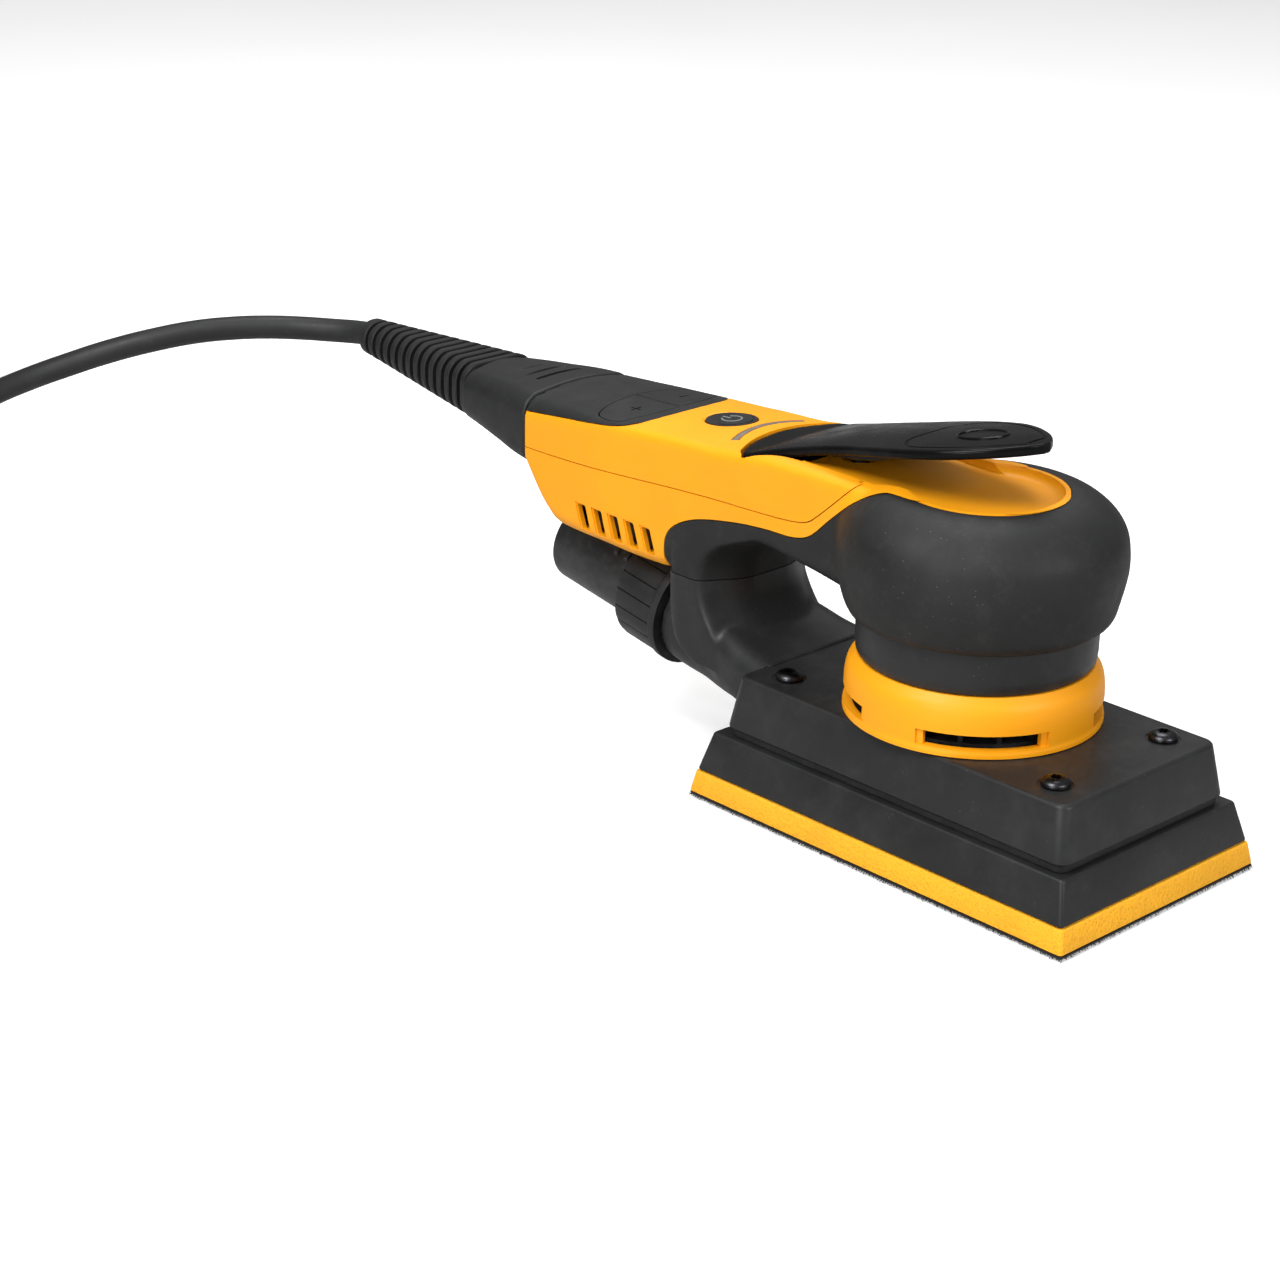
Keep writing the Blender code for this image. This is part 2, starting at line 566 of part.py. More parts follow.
def make_motor():
    """Cup, bearings, stator and bracket around the shaft."""
    cup = [(NECK_R - 0.8, 53.7), (29.6, 53.7), (29.6, 58.4), (14, 58.4), (14, 54.2), (5.6, 54.2), (5.6, 55.2),
           (11.3, 55.2), (11.3, 62.4), (28.9, 62.4), (28.9, 91.9), (NECK_R, 91.9), (NECK_R, 65)]
    smooth(turned("motor_housing", cup, "black_plastic", 32, closed=True))
    ring("lower_bearing", SHAFT_R + GAP, 11.0, 55.5, 62.1, "bright_steel", 24)
    teeth = []
    for i in range(12):
        a = i * 30
        teeth += arc((0, 0), 16.9, a - 11, a + 11, 2) + arc((0, 0), 23.6, a + 13, a + 17, 1)
    stator = disc("stator", 28.5, 64.5, 86.5, "copper_winding", 36)
    combine(stator, slab("stator_slots", teeth, 60, 90))
    bracket = [(28.5, 90.5), (28.5, 87.2), (6.0, 87.2), (6.0, 88.4), (9.7, 88.4), (9.7, 94.9), (12.5, 94.9),
               (12.5, 90.5)]
    turned("bearing_bracket", bracket, "aluminium", 32, closed=True)
    ring("upper_bearing", SHAFT_R + GAP, 9.4, 88.7, 94.6, "bright_steel", 24)


def make_shroud():
    low, high = SHROUD_Z
    (bx, by), (tx, ty) = SHROUD_HALF
    shroud = frustum("shroud", low, high, (bx, by), (tx, ty), SHROUD_CORNER, "black_plastic", (0, 0), 3)
    w = SHROUD_WALL
    drop = 2.5
    lean = (bx - tx) / (high - low)
    inner_top = (tx - w + lean * drop, ty - w + lean * drop)
    inner_low = (bx - w + lean, by - w + lean)
    corner = SHROUD_CORNER - w
    inside = frustum("shroud_inside", low - 1, high - drop, inner_low, inner_top, corner, None, (0, 0), 3)
    combine(shroud, inside)
    combine(shroud, disc("shroud_mouth", SHROUD_MOUTH_R, 30, 45, steps=36))
    combine(shroud, bpy.data.objects["dust_channel"])
    for i, (x, y) in enumerate(POST_AT):
        combine(shroud, disc(f"shroud_hole_{i}", 1.8, 30, 45, steps=12, location=(x, y, 0)))
        head = [(0, 39.5), (2.6, 39.3), (4.0, 38.2), (4.0, 37.55), (1.5, 37.55), (1.5, 27), (0, 27)]
        screw = turned(f"shroud_screw_{i + 1}", head, "black_steel", 16, location=(x, y, 0))
        combine(screw, disc(f"drive_hole_{i}", 1.5, 38.3, 42, steps=6, location=(x, y, 0)))
        smooth(screw)
        top = high - drop - GAP
        post = disc(f"pad_post_{i + 1}", POST_R, 12, top, "black_plastic", 16, location=(x, y, 0))
        combine(post, disc(f"post_bore_{i}", 1.8, 26.5, 45, steps=12, location=(x, y, 0)))
    seal_out = rounded_rectangle(bx - 1.2, by - 1.2, SHROUD_CORNER - 1, 3)
    seal = slab("dust_seal", seal_out, PLATE[1] + GAP, low - GAP, "grip_rubber")
    combine(seal, slab("seal_inside", rounded_rectangle(bx - 3.4, by - 3.4, SHROUD_CORNER - 3, 3), 15, 30))


def make_vent_ring():
    outer = [(31.9, 53.4), (33.9, 50.6), (34.6, 47.5), (34.75, 44.5), (34.7, 39.2), (34.95, 38.6)]
    outer += [(34.95, 37.55)]
    inner = [(32.4, 37.55), (32.4, 46.5), (31.7, 49.6), (29.9, 52.2), (29.9, 53.4)]
    vent = turned("vent_ring", outer + inner, "yellow_plastic", 40, closed=True)
    low, high = VENT_SLOT
    for i in range(4):
        middle = 45 + 90 * i
        span = VENT_SLOT_HALF_ANGLE
        sector = arc((0, 0), 40, middle - span, middle + span, 6)
        sector += arc((0, 0), 28, middle + span, middle - span, 4)
        combine(vent, slab(f"vent_slot_{i}", sector, low, high))
    smooth(vent)


def make_duct():
    body_loft("dust_channel", DUCT_CHANNEL)
    duct = body_loft("extraction_duct", DUCT_RUN, slot="black_plastic")
    combine(duct, leg_loft("duct_pillar", DUCT_PILLAR), "UNION")
    combine(duct, outlet_disc("outlet_boss", 16.2, 92, 104.2, steps=32), "UNION")
    low, high = SHROUD_Z
    (bx, by), (tx, ty) = SHROUD_HALF
    lean = (bx - tx) / (high - low)
    around = frustum("shroud_space", low - 5, high + 5, (bx + GAP + 5 * lean, by + GAP + 5 * lean),
                     (tx + GAP - 5 * lean, ty + GAP - 5 * lean), SHROUD_CORNER, None, (0, 0), 3)
    combine(duct, around)
    combine(duct, bpy.data.objects["dust_channel"])
    combine(duct, outlet_disc("outlet_bore", TUBE_R[1] + GAP, 93, 110))


def make_outlet():
    inner, outer = TUBE_R
    low, high = TUBE_Y
    rim = [(outer, high - 0.8), (outer, low), (inner, low), (inner, high), (outer - 0.8, high)]
    smooth(on_outlet("outlet_tube", rim, "black_plastic", 36))
    inner, outer = COLLAR_R
    low, high = COLLAR_Y
    profile = [(outer - 1.2, high), (outer, high - 1.2), (outer, low + 3.0), (outer + 0.5, low + 2.6),
               (outer + 0.5, low), (inner, low), (inner, high)]
    collar = on_outlet("outlet_collar", profile, "black_plastic", 32)
    smooth(collar, 20)


def make_grip():
    grip = hand_body("rubber_grip", "grip_rubber")
    combine(grip, leg_loft("grip_pillar", PILLAR), "UNION")
    edge = offset_line(GRIP_EDGE, GAP / 2)
    keep = edge + [(-45, GRIP_FOOT - 5), (97.2, GRIP_FOOT - 5)]
    combine(grip, slab("grip_region", keep, -45, 45, along="X"), "INTERSECT")
    combine(grip, bpy.data.objects["motor_space"])


def side_vents(housing):
    """Slanted cooling slots low in both sides of the housing."""
    for side in (-1, 1):
        for i in range(VENT_COUNT):
            y = VENT_FIRST_Y + i * VENT_PITCH
            slot = [(y - 3.0, VENT_Z[0]), (y + 0.4, VENT_Z[0]), (y + 3.0, VENT_Z[1]), (y - 0.4, VENT_Z[1])]
            x = sorted((side * VENT_X[0], side * VENT_X[1]))
            combine(housing, slab(f"vent_{side}_{i}", slot, *x, along="X"))


def case_screws(housing):
    """Four screws from below, each with its bore and its head's seat in the housing."""
    for i, (x, y) in enumerate(case_screws_at()):
        bore = disc(f"screw_bore_{i}", 1.8, 50, 84, steps=12, location=(x, y, 0))
        combine(housing, bore, solver="MANIFOLD")
        seat = disc(f"screw_seat_{i}", 3.4, 40, 58.6, steps=12, location=(x, y, 0))
        combine(housing, seat, solver="MANIFOLD")
        profile = [(0, 83), (1.5, 83), (1.5, 58.3), (3.0, 58.3), (3.0, 56.2), (0, 56.2)]
        smooth(turned(f"case_screw_{i + 1}", profile, "bright_steel", 12, location=(x, y, 0)))


def make_lower_housing():
    lower = hand_body("lower_housing", "yellow_plastic")
    edge = offset_line(GRIP_EDGE, -GAP / 2)
    seam = offset_line(COVER_SEAM, GAP / 2)
    region = edge + [(-45, 106)] + list(reversed(seam)) + [(170, 50)]
    combine(lower, slab("lower_region", region, -45, 45, along="X"), "INTERSECT")
    combine(lower, bpy.data.objects["tongue"], "UNION")
    combine(lower, bpy.data.objects["body_cavity"], solver="MANIFOLD")
    combine(lower, disc("cap_disc", CAP_R, CAP_UNDERSIDE, 99.45, steps=40), "UNION")
    space = [(0, 95.3), (22.5, 95.3), (NECK_R + GAP, 92.3), (NECK_R + GAP, 60), (0, 60)]
    combine(lower, turned("motor_clearance", space, steps=40))
    for name in ("dish", "plunger_well", "plunger_hole", "socket_hole", "tube_space", "collar_space"):
        combine(lower, bpy.data.objects[name], solver="MANIFOLD")
    side_vents(lower)
    case_screws(lower)


def make_top_cover():
    cover = hand_body("top_cover", "yellow_plastic")
    seam = offset_line(COVER_SEAM, -GAP / 2)
    region = seam + [(22, 106), (170, 106)]
    combine(cover, slab("cover_region", region, -45, 45, along="X"), "INTERSECT")
    combine(cover, bpy.data.objects["tongue_space"])
    combine(cover, bpy.data.objects["body_cavity"], solver="MANIFOLD")
    for name in ("dish", "lever_well", "lug_well", "pin_hole", "socket_hole"):
        combine(cover, bpy.data.objects[name])
    pocket = panel_region("panel_pocket", GAP)
    combine(pocket, bpy.data.objects["body_core"])
    combine(cover, pocket)
    for side, name in ((-1, "plus"), (1, "minus")):
        core = body_loft(f"{name}_floor", BODY, inset=BUTTON_WELL_DEPTH, crown=BODY_CROWN)
        well = slab(f"{name}_well", button_outline(side, GAP), 86, 110)
        combine(well, core)
        combine(cover, well)
    power_well = disc("power_well", POWER_R + GAP, 92.6, 110, steps=24, location=(*POWER_AT, 0))
    combine(cover, power_well)
    combine(cover, slab("status_well", status_outline(GAP), 94.2, 110))
    for i in range(len(case_screws_at())):
        combine(cover, bpy.data.objects[f"screw_bore_{i}"])


def status_outline(margin=0.0):
    radius, centre_y, half_angle = STATUS_ARC
    outside = arc((0, centre_y), radius + 0.9 + margin, 90 - half_angle, 90 + half_angle, 8)
    inside = arc((0, centre_y), radius - 0.9 - margin, 90 + half_angle, 90 - half_angle, 8)
    return outside + inside


def make_controls():
    panel = hand_body("control_panel", "black_plastic")
    combine(panel, panel_region("panel_region"), "INTERSECT")
    combine(panel, bpy.data.objects["skin_inside"])
    for side, name in ((-1, "plus"), (1, "minus")):
        combine(panel, slab(f"{name}_window", button_outline(side, GAP), 80, 110))
        button = hand_body(f"{name}_button", "black_plastic")
        combine(button, slab(f"{name}_region", button_outline(side), 86, 110), "INTERSECT")
        combine(button, bpy.data.objects["skin_inside"])
    x, y = POWER_AT
    power = hand_body("power_button", "black_plastic")
    combine(power, disc("power_region", POWER_R, 94.1, 110, steps=24, location=(x, y, 0)), "INTERSECT")
    status = hand_body("status_light", "grey_lens")
    combine(status, slab("status_region", status_outline(), 94.5, 110), "INTERSECT")


def make_lever():
    sections = []
    for y, half, top in LEVER:
        edge = min(1.0, half * 0.4)
        upper = [(half, top - 1.1), (half - edge, top), (0, top + 0.6)]
        upper += [(-half + edge, top), (-half, top - 1.1)]
        under = top - LEVER_THICK
        lower = [(-half, top - 2.0), (-half + edge, under), (half - edge, under), (half, top - 2.0)]
        sections.append([(x, y, z) for x, z in upper + lower])
    lever = loft("lever", sections, "black_plastic")
    pin_y, pin_z = LEVER_PIN
    lug = [(pin_y - 3.6, 96.9), (pin_y - 3.0, pin_z - 2.0), (pin_y - 1.0, pin_z - 3.0)]
    lug += [(pin_y + 1.0, pin_z - 3.0), (pin_y + 3.0, pin_z - 2.0), (pin_y + 3.6, 96.0)]
    combine(lever, slab("lever_lug", lug, -8, 8, along="X"), "UNION")
    bore = {"location": (0, pin_y, pin_z), "rotation": (0, 90, 0)}
    combine(lever, disc("lever_bore", LEVER_PIN_R + 0.1, -20, 20, steps=24, **bore))
    hang_on("lever_axis", (0, *LEVER_PIN), [lever])
    smooth(disc("lever_pin", LEVER_PIN_R, -13, 13, "bright_steel", 16, **bore))
    at = (0, PLUNGER_Y, 0)
    boot = [(0, 99.3), (3.4, 99.3), (5.4, 98.2), (5.4, 97.6), (2.5, 97.3), (2.5, 88.6), (0, 88.6)]
    smooth(turned("switch_plunger", boot, "grip_rubber", 24, location=at))
    turns = 4
    steps = 10
    low, high = LEVER_WELL_FLOOR + 0.9, 97.0
    coil = []
    for i in range(turns * steps + 1):
        a = 2 * math.pi * i / steps
        z = low + (high - low) * i / (turns * steps)
        coil.append((2.2 * math.cos(a), 53.8 + 2.2 * math.sin(a), z))
    tube("lever_spring", coil, 0.35, "bright_steel", 1)


def make_electronics():
    block("circuit_board", (-17.6, 108.8, 81.6), (17.6, 132.6, 83.2), "board_green")
    capacitor = disc("bus_capacitor", 8.0, 108.6, 132.6, "black_plastic", 20, rotation=(-90, 0, 0))
    capacitor.location = Vector((0, 0, 71.0)) * MM
    smooth(capacitor)
    low, high = SOCKET
    socket = bevel(block("inlet_socket", low, high, "black_plastic"), 1.0)
    combine(socket, block("socket_mouth", (-10.4, 150.4, 74.6), (10.4, 165, 83.4)))


def make_plug():
    plug = body_loft("plug_body", PLUG, slot="cord_rubber", crown=1.2)
    combine(plug, block("plug_spigot", (-10.1, 151, 74.9), (10.1, 162, 83.1)), "UNION")
    low, high = RELIEF_Y
    sections = []
    for i in range(2 * RELIEF_RIBS + 1):
        along = i / (2 * RELIEF_RIBS)
        half_x = 14.6 + (6.0 - 14.6) * along
        half_z = 9.3 + (5.8 - 9.3) * along
        groove = 0 if i % 2 else 1.4 - 0.5 * along
        corner = min(5.0, half_z - groove - 0.2)
        centre_z = 82.5 + 2.7 * along
        flat = rounded_rectangle(half_x - groove, half_z - groove, corner, 2, (0, centre_z))
        sections.append([(x, low + (high - low) * along, z) for x, z in flat])
    loft("strain_relief", sections, "cord_rubber")


def make_cord():
    tube("cord", smooth_route(CORD_ROUTE, 17.0), CORD_R, "cord_rubber", 2)
    x, y = COIL_CENTRE
    inner, outer = COIL_R
    profile = [(outer, COIL_HEIGHT - 3), (outer, 3), (outer - 3, 0.2), (inner + 3, 0.2), (inner, 3),
               (inner, COIL_HEIGHT - 3), (inner + 3, COIL_HEIGHT), (outer - 3, COIL_HEIGHT)]
    smooth(turned("cord_coil", profile, "cord_rubber", 32, closed=True, location=(x, y, 0)))
    z = COIL_HEIGHT + GAP + CORD_R
    start, stop = TAIL_ANGLES
    flat = arc((x, y), TAIL_R, start, stop, 5)
    tube("cord_tail", [(a, b, z) for a, b in flat], CORD_R, "cord_rubber", 2)
    make_mains_plug()


def make_mains_plug():
    """The plug on the cord's end lies across the coil, in line with the tail."""
    x, y = COIL_CENTRE
    angle = math.radians(TAIL_ANGLES[1])
    heel = Vector((x + TAIL_R * math.cos(angle), y + TAIL_R * math.sin(angle), COIL_HEIGHT + GAP + CORD_R))
    onward = Vector((math.sin(angle), -math.cos(angle), 0))
    inward = Vector((-math.cos(angle), -math.sin(angle), 0))
    ahead = (onward + 0.9 * inward).normalized()
    holder = bpy.data.objects.new("mains_plug_place", None)
    across = Vector((0, 0, 1)).cross(ahead)
    axes = Matrix((across, ahead, (0, 0, 1))).transposed().to_4x4()
    holder.matrix_world = Matrix.Translation(heel * MM) @ axes
    SHAPES.objects.link(holder)
    shape = [(4.2, 4.2, 3.7), (12, 6.5, 3.7), (18, 12, 3.7), (28, 16.5, 3.7), (47, 17.5, 3.7), (50, 16.5, 3.7)]
    sections = []
    for along, half, low in shape:
        flat = rounded_rectangle(half, (low + 8.3) / 2, 3.2, 2, (0, (8.3 - low) / 2))
        sections.append([(a, along, b) for a, b in flat])
    plug = loft("mains_plug", sections, "cord_rubber")
    plug.parent = holder
    for i, side in enumerate((-1, 1)):
        combine(plug, pin_piece(f"pin_seat_{i}", side, 2.3, 43.0, 55, None, holder))
        pin_piece(f"plug_pin_{i + 1}", side, 2.0, 43.3, 68.5, "bright_steel", holder)


def pin_piece(name, side, radius, start, stop, slot, holder):
    shape = disc(name, radius, start, stop, slot, 12, location=(side * 9.5, 0, 2.3), rotation=(-90, 0, 0))
    shape.parent = holder
    return shape


def main():
    clear_scene()
    bpy.context.scene.collection.children.link(SHAPES)
    bpy.context.scene.collection.children.link(CUTTERS)
    make_guides()
    make_pad()
    make_drive()
    make_motor()
    make_duct()
    make_shroud()
    make_vent_ring()
    make_outlet()
    make_grip()
    make_lower_housing()
    make_top_cover()
    make_controls()
    make_lever()
    make_electronics()
    make_plug()
    make_cord()


main()
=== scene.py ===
"""Looks of the compact orbital sander: fine surfaces, finishes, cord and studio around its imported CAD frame.

Sizes below are in millimetres in the CAD's frame, and MM turns them into Blender's metres.
"""

import math
import random

import bmesh
import bpy
import numpy as np
from mathutils import Matrix, Vector


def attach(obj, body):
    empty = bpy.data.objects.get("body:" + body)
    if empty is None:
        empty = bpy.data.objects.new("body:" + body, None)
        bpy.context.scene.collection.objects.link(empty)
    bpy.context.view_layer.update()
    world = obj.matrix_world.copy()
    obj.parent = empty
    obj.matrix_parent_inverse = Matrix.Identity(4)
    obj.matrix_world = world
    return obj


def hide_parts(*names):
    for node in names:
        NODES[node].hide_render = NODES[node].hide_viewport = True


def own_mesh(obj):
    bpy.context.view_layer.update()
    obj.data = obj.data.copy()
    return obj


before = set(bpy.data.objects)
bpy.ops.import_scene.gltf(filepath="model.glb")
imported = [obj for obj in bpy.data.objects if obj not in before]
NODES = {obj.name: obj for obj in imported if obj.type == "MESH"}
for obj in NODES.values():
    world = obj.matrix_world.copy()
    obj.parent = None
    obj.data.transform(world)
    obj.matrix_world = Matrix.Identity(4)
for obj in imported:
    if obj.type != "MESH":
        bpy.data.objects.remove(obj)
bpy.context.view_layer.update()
MM = 0.001
SCENE = bpy.context.scene

# Driving sizes, the same as the CAD's
GAP = 0.3
ORBIT = 1.5
PAD_CENTRE = (ORBIT * math.cos(math.radians(45)), ORBIT * math.sin(math.radians(45)))
PAD_HALF = (40.5, 66.5)
PAD_CORNER = 1.2
DUST_HOLES = [(x, y) for x in (-26.0, 26.0) for y in (-22.0, 0.0, 22.0)] + [(0.0, -40.0), (0.0, 40.0)]
SHROUD_Z = (21.9, 37.25)
SHROUD_HALF = ((34.0, 60.0), (31.5, 57.5))
SHROUD_CORNER = 3.6
POST_AT = [(x, y) for y in (-46.7, 46.7) for x in (-22.1, 22.1)]
NECK_R = 32.3
# Radius and height
DOME = [(0, 99.7), (20, 99.65), (23, 99.6), (27, 98.7), (31, 96.8), (35.2, 93.2), (37.6, 89.2), (38.5, 84.5),
        (38.6, 80), (37.9, 75.5), (36.8, 70.5), (36.0, 67.6), (34.6, 65.9), (33.0, 65.3), (0, 65.3)]
CAP_R = 22.0
DISH_R = 20.8
DISH_FLOOR = 97.2
CHANNEL_HALF = 17.2
TONGUE_HALF = 17.0
CAP_REAR = 18.6
CAP_Z = (95.6, 99.5)
ABOVE = 112.0
# Y, half width, top, bottom, and the radii of the top and bottom corners, as in WEB, DUCT_RUN and PLUG too
BODY = [(8, 20.0, 97.2, 76.0, 2.5, 3), (20, 21.6, 97.6, 73.4, 2.5, 5), (30, 22.0, 97.9, 71.7, 2.5, 5.5),
        (42, 22.3, 98.0, 71.4, 2.5, 5), (55, 22.6, 98.0, 71.7, 2.5, 5), (66, 22.3, 96.9, 71.5, 3, 5),
        (78, 22.0, 95.5, 70.0, 3, 5), (88, 22.0, 94.9, 66.0, 2.5, 6), (95, 22.0, 94.5, 58.0, 2.5, 6),
        (99, 22.0, 94.2, 54.4, 2.5, 5), (110, 22.3, 93.5, 54.3, 2.5, 5), (124, 22.4, 92.8, 54.8, 3, 5),
        (135, 22.3, 92.4, 55.0, 4, 5), (143.5, 22.2, 92.1, 55.6, 5, 5), (148, 22.1, 92.0, 58.4, 5.5, 5),
        (152, 22.0, 91.9, 62.6, 6, 5), (158, 21.8, 91.7, 71.2, 6.5, 4)]
BODY_HALF = 22.0
BODY_CROWN = 1.5
# Y and height along the side
COVER_SEAM = [(170, 76.6), (155.6, 76.7), (132.8, 77.4), (107.5, 79.0), (83.2, 80.6), (59.9, 81.8),
              (45.5, 82.9), (41.8, 84.0), (38.5, 86.5), (27.7, 96.3), (22.5, 101.5)]
GRIP_EDGE = [(97.4, 50), (97.4, 61.4), (97, 64.5), (95.4, 67.3), (92.3, 69.8), (86.9, 72.4), (81, 74.1),
             (75.1, 75.3), (65.4, 76.9), (55.9, 77.8), (48.4, 78.0), (44.7, 78.6), (41.8, 79.7),
             (38.9, 81.9), (35.5, 85.2), (30.6, 89.4), (24, 94.4), (17.2, 98.2), (10, 99.25), (-45, 99.3)]
WEB = [(22, 20.5, 88, 65.8, 3, 6), (33, 21.2, 88, 66.0, 3, 6), (38, 21.5, 88, 66.9, 3, 6),
       (44, 21.8, 88, 68.6, 3, 5), (50, 22.1, 88, 70.0, 3, 5), (56, 22.3, 88, 71.0, 3, 5),
       (62, 22.3, 88, 71.4, 3, 5)]
CAVITY = [(42.3, 19.2, 88, 82.4), (60, 19.4, 88, 80.6), (78, 19.4, 88, 79.0), (89, 19.4, 88, 75.0),
          (95, 19.4, 88, 72.6), (99.2, 19.4, 87.8, 68.0), (103, 19.4, 87.6, 58.0), (143, 19.4, 86.2, 59.4),
          (152, 19.2, 86, 67.5), (155.3, 19.0, 86, 72.0)]
SOCKET = ((-13, 147.2, 72.4), (13, 157.6, 85.6))
GRIP_FOOT = 55.15
# Height, and the Y of the leg's front and rear
PILLAR = [(50.15, 76.4, 97.1), (55.15, 76.4, 97.1), (58, 76.2, 97.1), (61.4, 75.0, 97.1), (64.4, 72.6, 97.1),
          (67, 69.0, 96), (69.3, 64.0, 94), (72.0, 57, 92), (75, 50, 90)]
# From the leg's side at its corner in to its flat front
LEG_FRONT = [(0, 10.0), (0.1, 8.8), (0.5, 7.7), (1.3, 6.8), (2.5, 6.0), (4.2, 5.0), (6.5, 3.5),
             (9.2, 1.9), (12, 0.7), (15, 0.0)]
LEG_REAR_R = 5.0
# Y, half width and height of the top
LEVER = [(74.6, 3.0, 96.7), (73.6, 9.5, 96.7), (71.6, 15.5, 96.6), (69.6, 19.2, 96.6), (68.0, 20.9, 96.6),
         (64, 20.0, 97.8), (60, 18.9, 99.0), (52, 17.3, 101.3), (44, 16.7, 103.5), (36, 16.9, 105.5),
         (28, 18.0, 107.4), (20, 18.9, 109.2), (12, 19.4, 110.9), (4, 18.6, 112.5), (-2, 16.6, 113.6),
         (-8, 13.2, 114.6), (-13, 9.4, 115.4), (-17, 5.0, 116.0), (-19, 1.6, 116.3)]
LEVER_THICK = 2.8
LEVER_LIPS = ((12, 46, 14), (57.4, 66, 2))
LEVER_PIN = (62.0, 92.4)
LEVER_PIN_R = 1.5
PLUNGER_Y = 44.0
PLUNGER_FOOT = 88.6
SPRING_Y = 53.8
LEVER_WELL_FLOOR = 93.2
LEVER_WELL_Y = 50.0
PANEL_EDGE = [(158.7, 87.6), (142, 89.5), (128, 91.0), (119, 92.3), (106, 95.6)]
POWER_AT = (0.0, 93.5)
POWER_R = 7.4
POWER_FLOOR = 94.1
TOP_SLOPE = 0.08
PANEL_THICK = 1.6
SIGN_AT = (9.5, 123.0)
SIGN_HALF = (1.9, 0.32)
STATUS_ARC = (29.0, 53.0, 28.5)
STATUS_HALF = 0.9
OUTLET_TILT = 9.57
OUTLET_AT = (140.0, 41.74)
TUBE_R = (11.9, 13.4)
TUBE_Y = (95.0, 154.6)
TOOTH_AT = (125.6, 129.8)
TOOTH_LONG = 1.6
COLLAR_R = (13.7, 17.7)
COLLAR_Y = (105.0, 122.9)
COLLAR_FLATS = 20
OUTLET_SPACE = 0.9
DUCT_END = 104.2
DUCT_RUN = [(55.5, 24.0, 38.0, 22.6, 6, 3), (60, 24.0, 38.6, 22.2, 7, 4), (66, 23.5, 39.6, 21.6, 7, 7),
            (74, 22.2, 42.0, 20.0, 7, 12), (84, 18.6, 45.0, 17.8, 6, 15), (94, 16.7, 48, 18.1, 6, 15.8),
            (101, 16.4, 50, 18.9, 6, 15.8)]
DUCT_PILLAR = [(30, 60.5, 88.0), (33, 63.5, 93.0), (36, 66.2, 95.6), (40, 69.6, 96.8), (45, 73.2, 97.4),
               (50, 75.6, 97.6), (54.85, 76.4, 97.7), (60, 76.4, 97.7)]
DUCT_CHANNEL = [(52, 22.0, 30.0, 24.6, 2, 2), (60, 21.0, 30.0, 24.6, 2, 2), (70, 16.5, 33.4, 24.6, 4, 4),
                (82, 13.5, 39.0, 24.2, 6, 7), (96, 11.8, 46.0, 22.6, 10, 11)]
PLUG = [(158.3, 21.7, 92.1, 70.9, 6.5, 4.5), (166, 20.6, 92.0, 71.3, 6.5, 5),
        (176, 18.4, 91.5, 72.2, 6.5, 5.5), (186, 16.4, 90.8, 73.4, 6, 5.5),
        (194.7, 15.0, 90.0, 74.5, 6, 5.5)]
RELIEF_Y = (195.0, 257.0)
RELIEF_RIBS = 13
CORD_R = 3.8
CORD_ROUTE = [(0, 258.3, 85.5), (-1.0, 264.5, 85.0), (-4.6, 272.2, 84.6), (-10.9, 279.8, 84.8),
              (-19.2, 286.6, 85.2), (-29.0, 293.2, 85.2), (-40.0, 299.8, 84.4), (-51.5, 306.4, 82.4),
              (-62.7, 313.7, 79.3), (-73.2, 322.2, 74.9), (-82.8, 332.4, 69.4), (-90.8, 344.4, 62.4),
              (-96.8, 358.0, 53.6), (-100.8, 372.8, 43.4), (-103.0, 388.4, 32.8), (-104.0, 404.6, 22.8),
              (-104.2, 421.0, 14.6), (-103.8, 437.6, 8.6), (-103.0, 454.4, 5.2), (-102.0, 471.4, 4.2),
              (-101.0, 488.6, 4.1), (-100.2, 506.0, 4.1), (-99.8, 523.6, 4.1)]
# The coil's centre, its three columns from outside in, its four layers, and where the plug's tail ends
COIL_CENTRE = (-40.8, 556.0)
COIL_COLUMNS = (59.0, 51.3, 43.6)
COIL_LAYERS = (4.1, 11.8, 19.45, 27.1)
COIL_TURNS = 10
COIL_SETTLE = 24.4
COIL_STEP = 40
TAIL_R = 54.0
TAIL_Z = 35.1
TAIL_END = -130.0


# Building shapes

def mesh_piece(name, points, faces):
    """A piece from points in millimetres and faces as tuples of point numbers."""
    mesh = bpy.data.meshes.new(name)
    mesh.from_pydata([[c * MM for c in p] for p in points], [], faces)
    mesh.update()
    piece = bpy.data.objects.new(name, mesh)
    SCENE.collection.objects.link(piece)
    return piece


def oriented(piece):
    """Faces of a closed piece turned outwards, with doubled points welded."""
    shape = bmesh.new()
    shape.from_mesh(piece.data)
    bmesh.ops.remove_doubles(shape, verts=shape.verts, dist=1e-6)
    bmesh.ops.recalc_face_normals(shape, faces=shape.faces)
    shape.to_mesh(piece.data)
    shape.free()
    return piece


def loft(name, sections, cyclic=False):
    """A closed solid through sections of equally many points, with flat ends unless it closes on itself."""
    count = len(sections[0])
    points = [p for section in sections for p in section]
    faces = []
    last = len(sections) if cyclic else len(sections) - 1
    for k in range(last):
        a, b = k * count, (k + 1) % len(sections) * count
        faces += [(a + i, a + (i + 1) % count, b + (i + 1) % count, b + i) for i in range(count)]
    if not cyclic:
        faces.append(tuple(range(count)))
        faces.append(tuple(range(len(points) - count, len(points))))
    return oriented(mesh_piece(name, points, faces))


def slab(name, outline, low, high, along="Z"):
    """A flat outline pushed out along Z, or along X when its points are (y, z)."""
    if along == "X":
        return loft(name, [[(x, a, b) for a, b in outline] for x in (low, high)])
    return loft(name, [[(a, b, z) for a, b in outline] for z in (low, high)])


def block(name, low, high):
    (x0, y0, z0), (x1, y1, z1) = low, high
    return slab(name, [(x0, y0), (x1, y0), (x1, y1), (x0, y1)], z0, z1)


